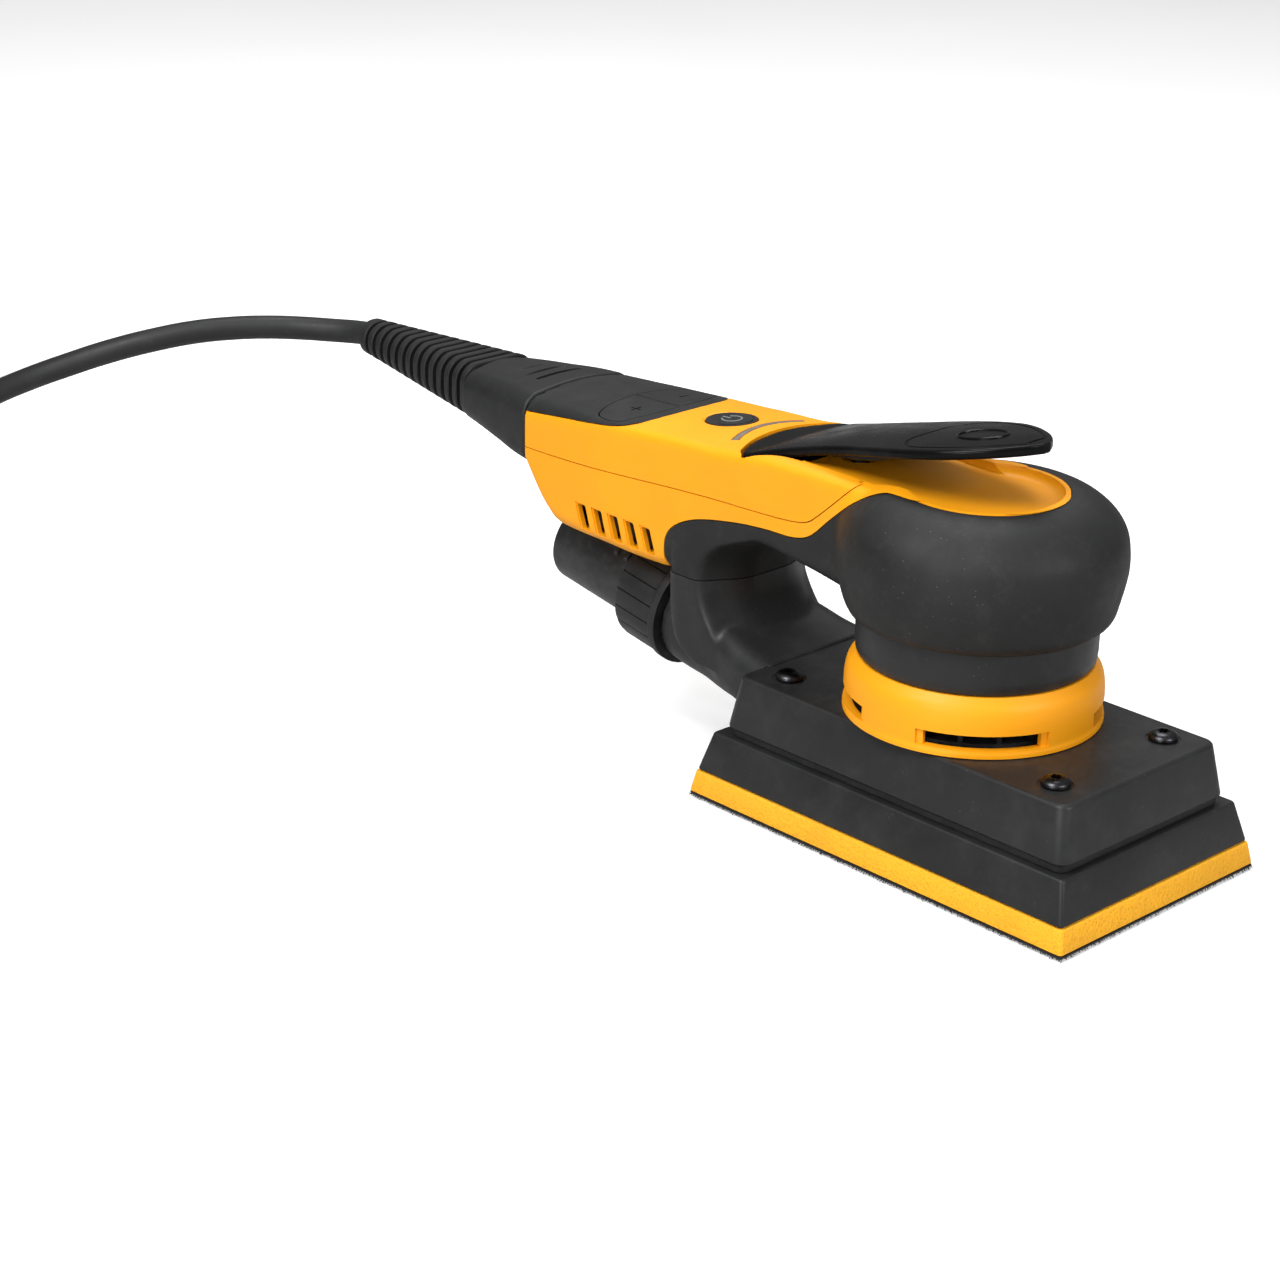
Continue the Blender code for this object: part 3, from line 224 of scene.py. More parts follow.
def turned(name, profile, steps=96, matrix=None):
    """A solid turned about Z through (radius, z) points. A profile that starts and ends on the axis is capped
    there, and any other one is closed on itself."""
    rim = [p for p in profile if p[0] > 0]
    rings = [[(r * math.cos(a), r * math.sin(a), z) for r, z in rim]
             for a in (2 * math.pi * i / steps for i in range(steps))]
    count = len(rim)
    points = [p for ring in rings for p in ring]
    capped = profile[0][0] == 0
    faces = []
    for k in range(steps):
        a, b = k * count, (k + 1) % steps * count
        around = count - 1 if capped else count
        faces += [(a + i, a + (i + 1) % count, b + (i + 1) % count, b + i) for i in range(around)]
    if capped:
        faces.append(tuple(k * count for k in range(steps)))
        faces.append(tuple(k * count + count - 1 for k in range(steps)))
    piece = oriented(mesh_piece(name, points, faces))
    if matrix:
        piece.data.transform(matrix)
    return piece


def moved_to(x, y, z=0.0):
    """The move from the origin to a place in millimetres."""
    return Matrix.Translation(Vector((x, y, z)) * MM)


def disc(name, radius, low, high, at=(0, 0), steps=48):
    return turned(name, [(0, high), (radius, high), (radius, low), (0, low)], steps, moved_to(*at))


def frozen(piece):
    """Applies a piece's modifiers to its mesh."""
    graph = bpy.context.evaluated_depsgraph_get()
    mesh = bpy.data.meshes.new_from_object(piece.evaluated_get(graph))
    old = piece.data
    piece.modifiers.clear()
    piece.data = mesh
    bpy.data.meshes.remove(old)
    return piece


def drop(*pieces):
    for piece in pieces:
        bpy.data.objects.remove(piece, do_unlink=True)


def combine(piece, other, operation="DIFFERENCE"):
    """Cuts, joins or meets two closed pieces, and uses up the other one."""
    before = len(piece.data.vertices)
    for solver in ("MANIFOLD", "EXACT"):
        modifier = piece.modifiers.new("combine", "BOOLEAN")
        modifier.operation = operation
        modifier.solver = solver
        modifier.object = other
        graph = bpy.context.evaluated_depsgraph_get()
        found = piece.evaluated_get(graph).data
        if len(found.vertices) and len(found.vertices) != before:
            frozen(piece)
            break
        piece.modifiers.clear()
    else:
        print("no change:", piece.name, operation, other.name)
    drop(other)
    return piece


def remeshed(piece, voxel, rounds=4, factor=0.5):
    """One even skin over everything that the mesh holds, with its edges softened."""
    modifier = piece.modifiers.new("remesh", "REMESH")
    modifier.mode = "VOXEL"
    modifier.voxel_size = voxel * MM
    if rounds:
        soften = piece.modifiers.new("soften", "SMOOTH")
        soften.factor = factor
        soften.iterations = rounds
    return frozen(piece)


def joined(name, pieces):
    """One mesh that holds all these pieces' shells."""
    shape = bmesh.new()
    for piece in pieces:
        shape.from_mesh(piece.data)
    mesh = bpy.data.meshes.new(name)
    shape.to_mesh(mesh)
    shape.free()
    drop(*pieces)
    whole = bpy.data.objects.new(name, mesh)
    SCENE.collection.objects.link(whole)
    return whole


def copied(piece, name):
    twin = bpy.data.objects.new(name, piece.data.copy())
    SCENE.collection.objects.link(twin)
    return twin


def bevelled(piece, width, segments=3, angle=30):
    modifier = piece.modifiers.new("bevel", "BEVEL")
    modifier.width = width * MM
    modifier.segments = segments
    modifier.limit_method = "ANGLE"
    modifier.angle_limit = math.radians(angle)
    modifier.harden_normals = False
    return frozen(piece)


def finish(piece, material, body, replaces=(), angle=30):
    """Gives a piece its material, its soft and sharp edges, its body and the CAD nodes that it stands for."""
    piece.data.materials.clear()
    piece.data.materials.append(MATERIALS[material])
    if piece.type == "MESH":
        piece.data.shade_smooth()
        piece.data.set_sharp_from_angle(angle=math.radians(angle))
    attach(piece, body)
    if replaces:
        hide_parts(*replaces)
    return piece


# Curves and sections

def arc(centre, radius, start, stop, steps):
    turns = [math.radians(start + (stop - start) * i / steps) for i in range(steps + 1)]
    return [(centre[0] + radius * math.cos(t), centre[1] + radius * math.sin(t)) for t in turns]


def step_up(value):
    """From 0 to 1, level at both ends."""
    t = min(max(value, 0.0), 1.0)
    return t * t * (3 - 2 * t)


def eased(xs, ys, at):
    """Values between table rows on a smooth line that never overshoots them."""
    step = np.diff(xs)
    slope = np.diff(ys) / step
    lean = np.concatenate([[slope[0]], np.zeros(len(xs) - 2), [slope[-1]]])
    for k in range(1, len(xs) - 1):
        if slope[k - 1] * slope[k] > 0:
            one, two = 2 * step[k] + step[k - 1], step[k] + 2 * step[k - 1]
            lean[k] = (one + two) / (one / slope[k - 1] + two / slope[k])
    k = np.clip(np.searchsorted(xs, at, side="right") - 1, 0, len(xs) - 2)
    t = (at - xs[k]) / step[k]
    rise = (2 * t ** 3 - 3 * t ** 2 + 1) * ys[k] + (3 * t ** 2 - 2 * t ** 3) * ys[k + 1]
    return rise + step[k] * ((t ** 3 - 2 * t ** 2 + t) * lean[k] + (t ** 3 - t ** 2) * lean[k + 1])


def smooth_table(rows, spacing):
    """A table's rows filled in at an even spacing of their first column."""
    table = np.array(sorted(rows), float)
    count = max(int((table[-1, 0] - table[0, 0]) / spacing), 2)
    at = np.linspace(table[0, 0], table[-1, 0], count + 1)
    columns = [eased(table[:, 0], table[:, c], at) for c in range(1, table.shape[1])]
    return [tuple(row) for row in np.column_stack([at, *columns])]


def flowing(points, per=6):
    """Points on a smooth curve through the given ones."""
    p = [Vector(q) for q in points]
    p = [2 * p[0] - p[1], *p, 2 * p[-1] - p[-2]]
    found = []
    for a, b, c, d in zip(p, p[1:], p[2:], p[3:]):
        t1 = (b - a).length ** 0.5
        t2 = t1 + (c - b).length ** 0.5
        t3 = t2 + (d - c).length ** 0.5
        for i in range(per):
            t = t1 + (t2 - t1) * i / per
            one = a * ((t1 - t) / t1) + b * (t / t1)
            two = b * ((t2 - t) / (t2 - t1)) + c * ((t - t1) / (t2 - t1))
            three = c * ((t3 - t) / (t3 - t2)) + d * ((t - t2) / (t3 - t2))
            low = one * ((t2 - t) / t2) + two * (t / t2)
            high = two * ((t3 - t) / (t3 - t1)) + three * ((t - t1) / (t3 - t1))
            found.append(low * ((t2 - t) / (t2 - t1)) + high * ((t - t1) / (t2 - t1)))
    found.append(p[-2])
    return [tuple(q) for q in found]


def offset_line(line, distance):
    """The line moved sideways, to its left for a positive distance."""
    moved = []
    for i, (a, b) in enumerate(line):
        before = Vector(line[max(i - 1, 0)])
        after = Vector(line[min(i + 1, len(line) - 1)])
        ahead = (after - before).normalized()
        moved.append((a - ahead.y * distance, b + ahead.x * distance))
    return moved


def rounded_rectangle(half_x, half_y, radius, steps=6, centre=(0, 0)):
    """An outline with four round corners, anticlockwise from its right side's upper corner."""
    points = []
    for sx, sy, start in ((1, 1, 0), (-1, 1, 90), (-1, -1, 180), (1, -1, 270)):
        middle = (centre[0] + sx * (half_x - radius), centre[1] + sy * (half_y - radius))
        points += arc(middle, radius, start, start + 90, steps)
    return points


def body_section(y, half, top, bottom, r_top, r_bottom, crown=0.0, steps=8):
    """An upright cut at one y, with round corners and a top that may rise to a crown."""
    points = arc((half - r_top, top - r_top), r_top, 0, 90, steps)
    if crown:
        reach = half - r_top
        points += [(reach * c, top + crown * (1 - c * c)) for c in (0.75, 0.5, 0.25, 0, -0.25, -0.5, -0.75)]
    points += arc((-half + r_top, top - r_top), r_top, 90, 180, steps)
    points += arc((-half + r_bottom, bottom + r_bottom), r_bottom, 180, 270, steps)
    points += arc((half - r_bottom, bottom + r_bottom), r_bottom, 270, 360, steps)
    return [(x, y, z) for x, z in points]


def body_loft(name, stations, inset=0.0, crown=0.0, steps=8, spacing=2.0):
    """A solid through a table of upright cuts, or one drawn in from it all round."""
    sections = []
    for y, half, top, bottom, r_top, r_bottom in smooth_table(stations, spacing):
        radii = max(r_top - inset, 0.8), max(r_bottom - inset, 0.8)
        sections.append(body_section(y, half - inset, top - inset, bottom + inset, *radii, crown, steps))
    return loft(name, sections)


def leg_loft(name, levels, spacing=1.0):
    """The hand grip's leg through level cuts (z, front, rear), each with a broad rounded front."""
    r = LEG_REAR_R
    sections = []
    for z, front, rear in smooth_table(levels, spacing):
        flat = arc((BODY_HALF - r, rear - r), r, 0, 90, 6) + arc((r - BODY_HALF, rear - r), r, 90, 180, 6)
        left = [(x - BODY_HALF, front + y) for x, y in LEG_FRONT]
        right = [(-x, y) for x, y in reversed(left)]
        sections.append([(x, y, z) for x, y in flat + left + right])
    return loft(name, sections)


def frustum(name, bottom, top, half_bottom, half_top, radius, centre=(0, 0), steps=8):
    """A block with leaning sides between two rounded rectangles."""
    def section(half, z):
        return [(x, y, z) for x, y in rounded_rectangle(*half, radius, steps, centre)]
    return loft(name, [section(half_bottom, bottom), section(half_top, top)])


def outlet_frame():
    """The dust outlet's own frame: its axis is local Z, and local zero is at OUTLET_AT."""
    tilt = Matrix.Rotation(math.radians(OUTLET_TILT - 90), 4, "X")
    return moved_to(0, *OUTLET_AT) @ tilt


def along_outlet(y):
    return (y - OUTLET_AT[0]) / math.cos(math.radians(OUTLET_TILT))


def on_outlet(name, profile, steps=96):
    """A solid turned about the outlet's axis through (radius, y) points."""
    return turned(name, [(r, along_outlet(y)) for r, y in profile], steps, outlet_frame())


def outlet_disc(name, radius, rear, front, steps=96):
    return on_outlet(name, [(0, rear), (radius, rear), (radius, front), (0, front)], steps)


def ring_sector(outside, inside, start, stop, steps, inner_steps=None, centre=(0, 0)):
    """The outline of a piece of a flat ring, from one angle to another."""
    outer = arc(centre, outside, start, stop, steps)
    return outer + arc(centre, inside, stop, start, inner_steps or steps)


# Finishes

class Nodes:
    """Short ways to wire a material's nodes."""

    def __init__(self, name):
        self.material = bpy.data.materials.new(name)
        self.material.use_nodes = True
        self.tree = self.material.node_tree
        self.shader = self.tree.nodes["Principled BSDF"]
        self.place = self.tree.nodes.new("ShaderNodeTexCoord").outputs["Object"]

    def put(self, kind, values=None, **settings):
        node = self.tree.nodes.new("ShaderNode" + kind)
        for key, value in settings.items():
            setattr(node, key, value)
        self.feed(node.inputs, values or {})
        return node

    def feed(self, sockets, values):
        """Links each socket to the value given for it, or sets it."""
        for key, value in values.items():
            if isinstance(value, bpy.types.NodeSocket):
                self.tree.links.new(value, sockets[key])
            else:
                sockets[key].default_value = value

    def stretched(self, scale=(1, 1, 1)):
        return self.put("Mapping", {"Vector": self.place, "Scale": scale}).outputs[0]

    def noise(self, scale, detail=4.0, rough=0.55, where=None):
        values = {"Vector": where or self.place, "Scale": scale, "Detail": detail, "Roughness": rough}
        return self.put("TexNoise", values).outputs[0]

    def cells(self, scale, where=None, feature="F1"):
        values = {"Vector": where or self.place, "Scale": scale}
        return self.put("TexVoronoi", values, feature=feature).outputs["Distance"]

    def ramp(self, value, low, high, start=0.0, stop=1.0):
        """The value taken from between low and high to between start and stop."""
        names = {"Value": value, "From Min": low, "From Max": high, "To Min": start, "To Max": stop}
        return self.put("MapRange", names, clamp=True).outputs[0]

    def maths(self, operation, a, b=0.0):
        return self.put("Math", {0: a, 1: b}, operation=operation).outputs[0]

    def mix(self, share, a, b):
        node = self.tree.nodes.new("ShaderNodeMix")
        node.data_type = "RGBA"
        self.feed(node.inputs, {0: share, 6: a, 7: b})
        return node.outputs[2]

    def edges(self, low=0.52, high=0.62):
        """From 0 on flat and hollow places to 1 on proud edges, where a surface wears."""
        return self.ramp(self.tree.nodes.new("ShaderNodeNewGeometry").outputs["Pointiness"], low, high)

    def bump(self, height, strength, distance, onto=None):
        values = {"Height": height, "Strength": strength, "Distance": distance * MM}
        if onto:
            values["Normal"] = onto
        return self.put("Bump", values).outputs[0]

    def wire(self, **sockets):
        """Links or sets the shader's sockets, named with underscores for spaces."""
        self.feed(self.shader.inputs, {key.replace("_", " "): value for key, value in sockets.items()})
        return self.material


def shade(colour, factor):
    return (*(min(c * factor, 1.0) for c in colour[:3]), 1)


def moulded(name, colour, rough=0.42, grain=0.02, variety=0.12, worn=1.6, dust=0.0, glow=0.0, shine=0.5):
    """Moulded plastic: a fine spark-eroded grain, slow changes of tone, and edges rubbed a little lighter."""
    n = Nodes(name)
    slow = n.noise(28, 3)
    tone = n.mix(n.ramp(slow, 0.35, 0.65), shade(colour, 1 - variety), shade(colour, 1 + variety / 2))
    rubbed = n.maths("MULTIPLY", n.edges(), n.ramp(n.noise(420, 5), 0.45, 0.7))
    tone = n.mix(n.maths("MULTIPLY", rubbed, 0.5), tone, shade(colour, worn))
    if dust:
        specks = n.ramp(n.cells(520), 0.11, 0.05)
        some = n.maths("MULTIPLY", specks, n.ramp(n.noise(60, 2), 0.52, 0.62))
        haze = n.maths("MULTIPLY", n.ramp(n.noise(75, 6, 0.7), 0.48, 0.78), 0.25)
        cover = n.maths("MULTIPLY", n.maths("MAXIMUM", some, haze), dust)
        tone = n.mix(cover, tone, (0.20, 0.20, 0.19, 1))
    fine = n.noise(2600, 2)
    smudge = n.ramp(n.noise(110, 5, 0.65), 0.35, 0.7, rough - 0.05, rough + 0.08)
    normal = n.bump(fine, 0.5, grain)
    normal = n.bump(n.noise(340, 3), 0.25, grain, normal)
    n.wire(Base_Color=tone, Roughness=smudge, Normal=normal, Specular_IOR_Level=shine)
    if glow:
        n.wire(Subsurface_Weight=glow, Subsurface_Radius=(1.0, 0.45, 0.1), Subsurface_Scale=0.0012)
    return n.material


def rubber(name, colour, rough=0.72, grain=0.035, dust=0.5):
    """Soft-touch rubber: matte, with a fine pebble, a dry bloom and specks of sanding dust."""
    n = Nodes(name)
    bloom = n.ramp(n.noise(34, 6, 0.7), 0.4, 0.72)
    tone = n.mix(bloom, colour, shade(colour, 1.55))
    specks = n.ramp(n.cells(430), 0.10, 0.04)
    some = n.maths("MULTIPLY", specks, n.ramp(n.noise(45, 3), 0.5, 0.62))
    haze = n.maths("MULTIPLY", n.ramp(n.noise(130, 8, 0.75), 0.52, 0.8), 0.22)
    tone = n.mix(n.maths("MULTIPLY", n.maths("MAXIMUM", some, haze), dust), tone, (0.22, 0.215, 0.205, 1))
    pebble = n.bump(n.cells(1900, feature="SMOOTH_F1"), 0.45, grain)
    wavy = n.bump(n.noise(90, 4), 0.12, 0.25, pebble)
    satin = n.ramp(n.noise(60, 5, 0.6), 0.3, 0.7, rough - 0.1, rough + 0.08)
    return n.wire(Base_Color=tone, Roughness=satin, Normal=wavy, Specular_IOR_Level=0.38)


def metal(name, colour, rough=0.28, brushed=(1, 1, 14), wear=0.3, dark=0.7):
    """Machined metal: drawn lines in one direction, cloudy tone and brighter edges."""
    n = Nodes(name)
    lines = n.noise(900, 3, 0.6, n.stretched(brushed))
    cloud = n.ramp(n.noise(140, 5), 0.3, 0.7)
    tone = n.mix(cloud, shade(colour, dark), colour)
    tone = n.mix(n.maths("MULTIPLY", n.edges(), wear), tone, shade(colour, 1.6))
    polish = n.ramp(lines, 0.25, 0.75, rough - 0.08, rough + 0.12)
    return n.wire(Base_Color=tone, Roughness=polish, Metallic=1.0, Normal=n.bump(lines, 0.35, 0.02))


def foam(name, colour):
    """Closed-cell foam: pitted cut faces, with painted shade making the pits darker than the skin between
    them.
    """
    n = Nodes(name)
    pits = n.cells(1100)
    small = n.cells(2400)
    deep = n.ramp(pits, 0.0, 0.35)
    # painted shade: the bottoms of the bumped pits are coloured darker
    tone = n.mix(deep, shade(colour, 0.62), colour)
    tone = n.mix(n.ramp(n.noise(38, 4), 0.4, 0.7), tone, shade(colour, 0.85))
    normal = n.bump(pits, 0.8, 0.25)
    normal = n.bump(small, 0.5, 0.1, normal)
    n.wire(Base_Color=tone, Roughness=0.85, Normal=normal, Subsurface_Weight=0.12)
    return n.wire(Subsurface_Radius=(1.0, 0.5, 0.1), Subsurface_Scale=0.001)


def copper(name, colour):
    """Enamelled winding: fine wires lying side by side, with painted shade darkening the grooves between them.
    """
    n = Nodes(name)
    values = {"Vector": n.place, "Scale": 900.0, "Distortion": 0.6, "Detail": 1.0}
    wires = n.put("TexWave", values, bands_direction="Z").outputs["Fac"]
    # painted shade: the grooves between the bumped wires are coloured darker
    tone = n.mix(wires, shade(colour, 0.35), colour)
    rough = n.ramp(wires, 0, 1, 0.5, 0.3)
    return n.wire(Base_Color=tone, Roughness=rough, Metallic=0.9, Normal=n.bump(wires, 0.8, 0.2))


def board(name, colour):
    """Circuit board: solder mask over faint straight tracks, with a woven edge."""
    n = Nodes(name)
    tracks = n.put("TexBrick", {"Vector": n.place, "Scale": 260.0, "Mortar Size": 0.06}).outputs["Fac"]
    tone = n.mix(tracks, colour, shade(colour, 1.9))
    rough = n.ramp(n.noise(1400, 2), 0.3, 0.7, 0.3, 0.5)
    return n.wire(Base_Color=tone, Roughness=rough, Normal=n.bump(tracks, 0.6, 0.05))


def lens(name, colour):
    """Smoked clear plastic over small lamps, each a little lighter than what is between them."""
    n = Nodes(name)
    lamps = n.ramp(n.cells(260), 0.15, 0.5)
    tone = n.mix(lamps, shade(colour, 1.35), shade(colour, 0.8))
    haze = n.ramp(n.noise(400, 4), 0.3, 0.7, 0.18, 0.34)
    return n.wire(Base_Color=tone, Roughness=haze, Normal=n.bump(n.noise(900, 2), 0.2, 0.01), Coat_Weight=0.4)


def hooks(name, colour):
    """The hook fastener's black nylon, a little glossy on each thread."""
    n = Nodes(name)
    tone = n.mix(n.ramp(n.noise(500, 4), 0.35, 0.7), colour, shade(colour, 3.0))
    weave = n.cells(900)
    return n.wire(Base_Color=tone, Roughness=n.ramp(weave, 0, 0.5, 0.5, 0.8), Normal=n.bump(weave, 0.7, 0.2))


FINISHES = (
    (moulded, "yellow_plastic", (0.90, 0.350, 0.005, 1),
     dict(rough=0.46, grain=0.012, variety=0.05, worn=1.1, glow=0.06, shine=0.28)),
    (moulded, "black_plastic", (0.0160, 0.0163, 0.0166, 1),
     dict(grain=0.03, variety=0.2, worn=4.0, dust=0.25, shine=0.30)),
    (moulded, "gloss_black", (0.0030, 0.0031, 0.0033, 1),
     dict(rough=0.24, grain=0.006, variety=0.15, worn=5.0, dust=0.10, shine=0.10)),
    (rubber, "grip_rubber", (0.0072, 0.0074, 0.0074, 1), dict(rough=0.60, dust=0.3)),
    (foam, "pad_foam", (0.92, 0.43, 0.012, 1), {}),
    (hooks, "hook_layer", (0.008, 0.008, 0.009, 1), {}),
    (rubber, "cord_rubber", (0.0080, 0.0082, 0.0086, 1), dict(rough=0.55, grain=0.015, dust=0.2)),
    (metal, "bright_steel", (0.62, 0.63, 0.65, 1), dict(rough=0.26)),
    (metal, "black_steel", (0.050, 0.050, 0.054, 1), dict(rough=0.30, brushed=(1, 1, 1), wear=0.8)),
    (metal, "aluminium", (0.66, 0.67, 0.69, 1), dict(rough=0.38, brushed=(1, 1, 6))),
    (metal, "magnet", (0.12, 0.12, 0.13, 1), dict(rough=0.45, brushed=(1, 1, 3))),
    (copper, "copper_winding", (0.62, 0.25, 0.09, 1), {}),
    (board, "board_green", (0.02, 0.12, 0.05, 1), {}),
    (lens, "grey_lens", (0.26, 0.20, 0.16, 1), {}),
    (moulded, "print_grey", (0.24, 0.245, 0.25, 1), dict(rough=0.35, grain=0.004, variety=0.1, worn=1.2)),
)
MATERIALS = {name: make(name, colour, **how) for make, name, colour, how in FINISHES}


# Studio

CAMERA_AT = (-553.8, -453.2, 337.3)
CAMERA_TURN = (-43.53, 21.67, 0.94)
CAMERA_LENS = 80.78


def make_camera():
    """The camera stands left of the head and looks down on the tool, tilted a little."""
    around, above, roll = (math.radians(turn) for turn in CAMERA_TURN)
    back = Vector((math.sin(around) * math.cos(above), -math.cos(around) * math.cos(above), math.sin(above)))
    right = (-back).cross(Vector((0, 0, 1))).normalized()
    up = right.cross(-back)
    tilted_right = right * math.cos(roll) + up * math.sin(roll)
    tilted_up = up * math.cos(roll) - right * math.sin(roll)
    camera = bpy.data.objects.new("camera", bpy.data.cameras.new("camera"))
    matrix = Matrix((tilted_right, tilted_up, back)).transposed().to_4x4()
    matrix.translation = Vector(CAMERA_AT) * MM
    camera.matrix_world = matrix
    camera.data.lens = CAMERA_LENS
    camera.data.sensor_width = 36
    camera.data.clip_start = 0.01
    SCENE.collection.objects.link(camera)
    SCENE.camera = camera


def make_light(name, place, aim, size, power, tint=(1, 1, 1)):
    data = bpy.data.lights.new(name, "AREA")
    data.shape = "RECTANGLE"
    data.size, data.size_y = size
    data.energy = power
    data.color = tint
    light = bpy.data.objects.new(name, data)
    light.location = place
    light.rotation_euler = (Vector(aim) - Vector(place)).to_track_quat("-Z", "Y").to_euler()
    SCENE.collection.objects.link(light)


def make_studio():
    """Four soft lights over a pale floor. The camera sees a white surround, and reflections a darker one."""
    middle = (0, 0.08, 0.05)
    make_light("key", (-0.75, 0.05, 1.05), middle, (0.6, 0.6), 13.5)
    make_light("front", (0.05, -1.3, 0.75), middle, (0.7, 0.5), 10.0)
    make_light("side", (-1.4, -0.35, 0.45), middle, (0.5, 0.4), 7.0)
    make_light("rear", (0.4, 0.4, 1.15), middle, (0.5, 0.5), 7.0)
    world = bpy.data.worlds.new("studio")
    world.use_nodes = True
    tree = world.node_tree
    seen = tree.nodes.new("ShaderNodeLightPath").outputs["Is Camera Ray"]
    height = tree.nodes.new("ShaderNodeSeparateXYZ")
    tree.links.new(tree.nodes.new("ShaderNodeTexCoord").outputs["Generated"], height.inputs[0])
    sky = tree.nodes.new("ShaderNodeMapRange")
    sky.inputs["To Min"].default_value = 0.10
    sky.inputs["To Max"].default_value = 0.50
    tree.links.new(height.outputs["Z"], sky.inputs["Value"])
    strength = tree.nodes.new("ShaderNodeMath")
    strength.operation = "MAXIMUM"
    tree.links.new(seen, strength.inputs[0])
    tree.links.new(sky.outputs[0], strength.inputs[1])
    tree.nodes["Background"].inputs["Color"].default_value = (1, 1, 1, 1)
    tree.links.new(strength.outputs[0], tree.nodes["Background"].inputs["Strength"])
    SCENE.world = world
    SCENE.view_settings.view_transform = "Standard"
    n = Nodes("floor")
    tone = n.mix(n.ramp(n.noise(3, 2), 0.3, 0.7), (0.90, 0.90, 0.90, 1), (0.94, 0.94, 0.94, 1))
    seen = n.tree.nodes.new("ShaderNodeLightPath").outputs["Is Camera Ray"]
    tone = n.mix(seen, (0.45, 0.45, 0.45, 1), tone)
    n.wire(Emission_Color=(1, 1, 1, 1), Emission_Strength=n.maths("MULTIPLY", seen, 0.25))
    n.wire(Base_Color=tone, Roughness=n.ramp(n.noise(9, 3), 0.3, 0.7, 0.75, 0.85))
    reach = 4000
    floor = slab("floor", [(-reach, -reach), (reach, -reach), (reach, reach), (-reach, reach)], -20, -0.25)
    floor.data.materials.append(n.material)


# Cord

def coil_start():
    """The angle at which the laid stretch meets the coil, in degrees round its centre."""
    x, y = CORD_ROUTE[-1][0] - COIL_CENTRE[0], CORD_ROUTE[-1][1] - COIL_CENTRE[1]
    return math.degrees(math.atan2(y, x))


def coil_point(travel):
    """Where the wound cord is after turning this many degrees clockwise, seen from above, round the coil.

    Each layer's three columns lie a diameter apart. The cord steps over to the next column, or up to the
    next layer, in zones that follow each other backwards round the coil, so that no two steps meet.
    """
    outer, middle, inner = COIL_COLUMNS
    steps = [(0, 260, "r", middle), (1, 260, "r", inner), (2, 220, "z", 1), (3, 180, "r", middle),
             (4, 180, "r", outer), (5, 140, "z", 2), (6, 100, "r", middle), (7, 100, "r", inner),
             (8, 60, "z", 3), (9, 20, "r", middle), (10, 20, "r", outer)]
    arrival = (Vector(CORD_ROUTE[-1][:2]) - Vector(COIL_CENTRE)).length
    settle = max(1 - travel / COIL_SETTLE, 0.0)
    r, z = outer + (arrival - outer) * settle ** 2, COIL_LAYERS[0]
    for turn, zone, kind, goal in steps:
        share = step_up((travel - turn * 360 - zone) / COIL_STEP)
        if kind == "r":
            r += (goal - r) * share
        else:
            z += (COIL_LAYERS[goal] - z) * share
    rise = COIL_TURNS * 360 + 215
    z += (TAIL_Z - z) * step_up((travel - rise) / 45)
    r += (TAIL_R - r) * step_up((travel - rise) / 60)
    angle = math.radians(coil_start() - travel)
    return (COIL_CENTRE[0] + r * math.cos(angle), COIL_CENTRE[1] + r * math.sin(angle), z)


def cord_points():
    """The laid stretch's own points, then 24 for each turn of the coil, to the plug's heel."""
    whole = COIL_TURNS * 360 + (coil_start() - TAIL_END) % 360
    count = int(whole / 15)
    return CORD_ROUTE + [coil_point(whole * i / count) for i in range(1, count + 1)]


def make_cord():
    points = cord_points()
    curve = bpy.data.curves.new("mains_cord", "CURVE")
    curve.dimensions = "3D"
    curve.bevel_depth = CORD_R * MM
    curve.bevel_resolution = 5
    curve.use_fill_caps = True
    curve.resolution_u = 6
    spline = curve.splines.new("BEZIER")
    spline.bezier_points.add(len(points) - 1)
    for point, where in zip(spline.bezier_points, points):
        point.co = Vector(where) * MM
        point.handle_left_type = "AUTO"
        point.handle_right_type = "AUTO"
    cord = bpy.data.objects.new("mains_cord", curve)
    SCENE.collection.objects.link(cord)
    bpy.context.view_layer.update()
    finish(cord, "cord_rubber", "housing", ("cord", "cord_coil", "cord_tail"))
    plug = make_mains_plug()
    tie = make_tie()


def make_tie():
    """A hook-and-loop strap round the coil on its far side."""
    angle = math.radians(25)
    out = Vector((math.cos(angle), math.sin(angle), 0))
    ahead = Vector((-out.y, out.x, 0))
    inner = COIL_COLUMNS[2] - CORD_R - 0.25
    outer = COIL_COLUMNS[0] + CORD_R + 0.25
    top = COIL_LAYERS[3] + CORD_R + 0.2
    half_wide, half_high = (outer - inner) / 2, (top - 0.1) / 2
    around = rounded_rectangle(half_wide, half_high, CORD_R, 8)
    start = Vector(COIL_CENTRE).to_3d() + out * ((inner + outer) / 2) + Vector((0, 0, half_high + 0.1))
    sections = []
    for a, b in around:
        middle = start + out * a + Vector((0, 0, b))
        away = (out * a / half_wide + Vector((0, 0, b / half_high))).normalized() * 0.5
        if b < -half_high + 0.6:
            away = Vector((0, 0, 0.12))
        flat = [(-6, 0), (-5.7, 1), (5.7, 1), (6, 0)]
        sections.append([tuple(middle + ahead * w + away * (h - 0.2)) for w, h in flat])
    strap = loft("cord_tie", sections, cyclic=True)
    return finish(strap, "hook_layer", "housing", angle=40)


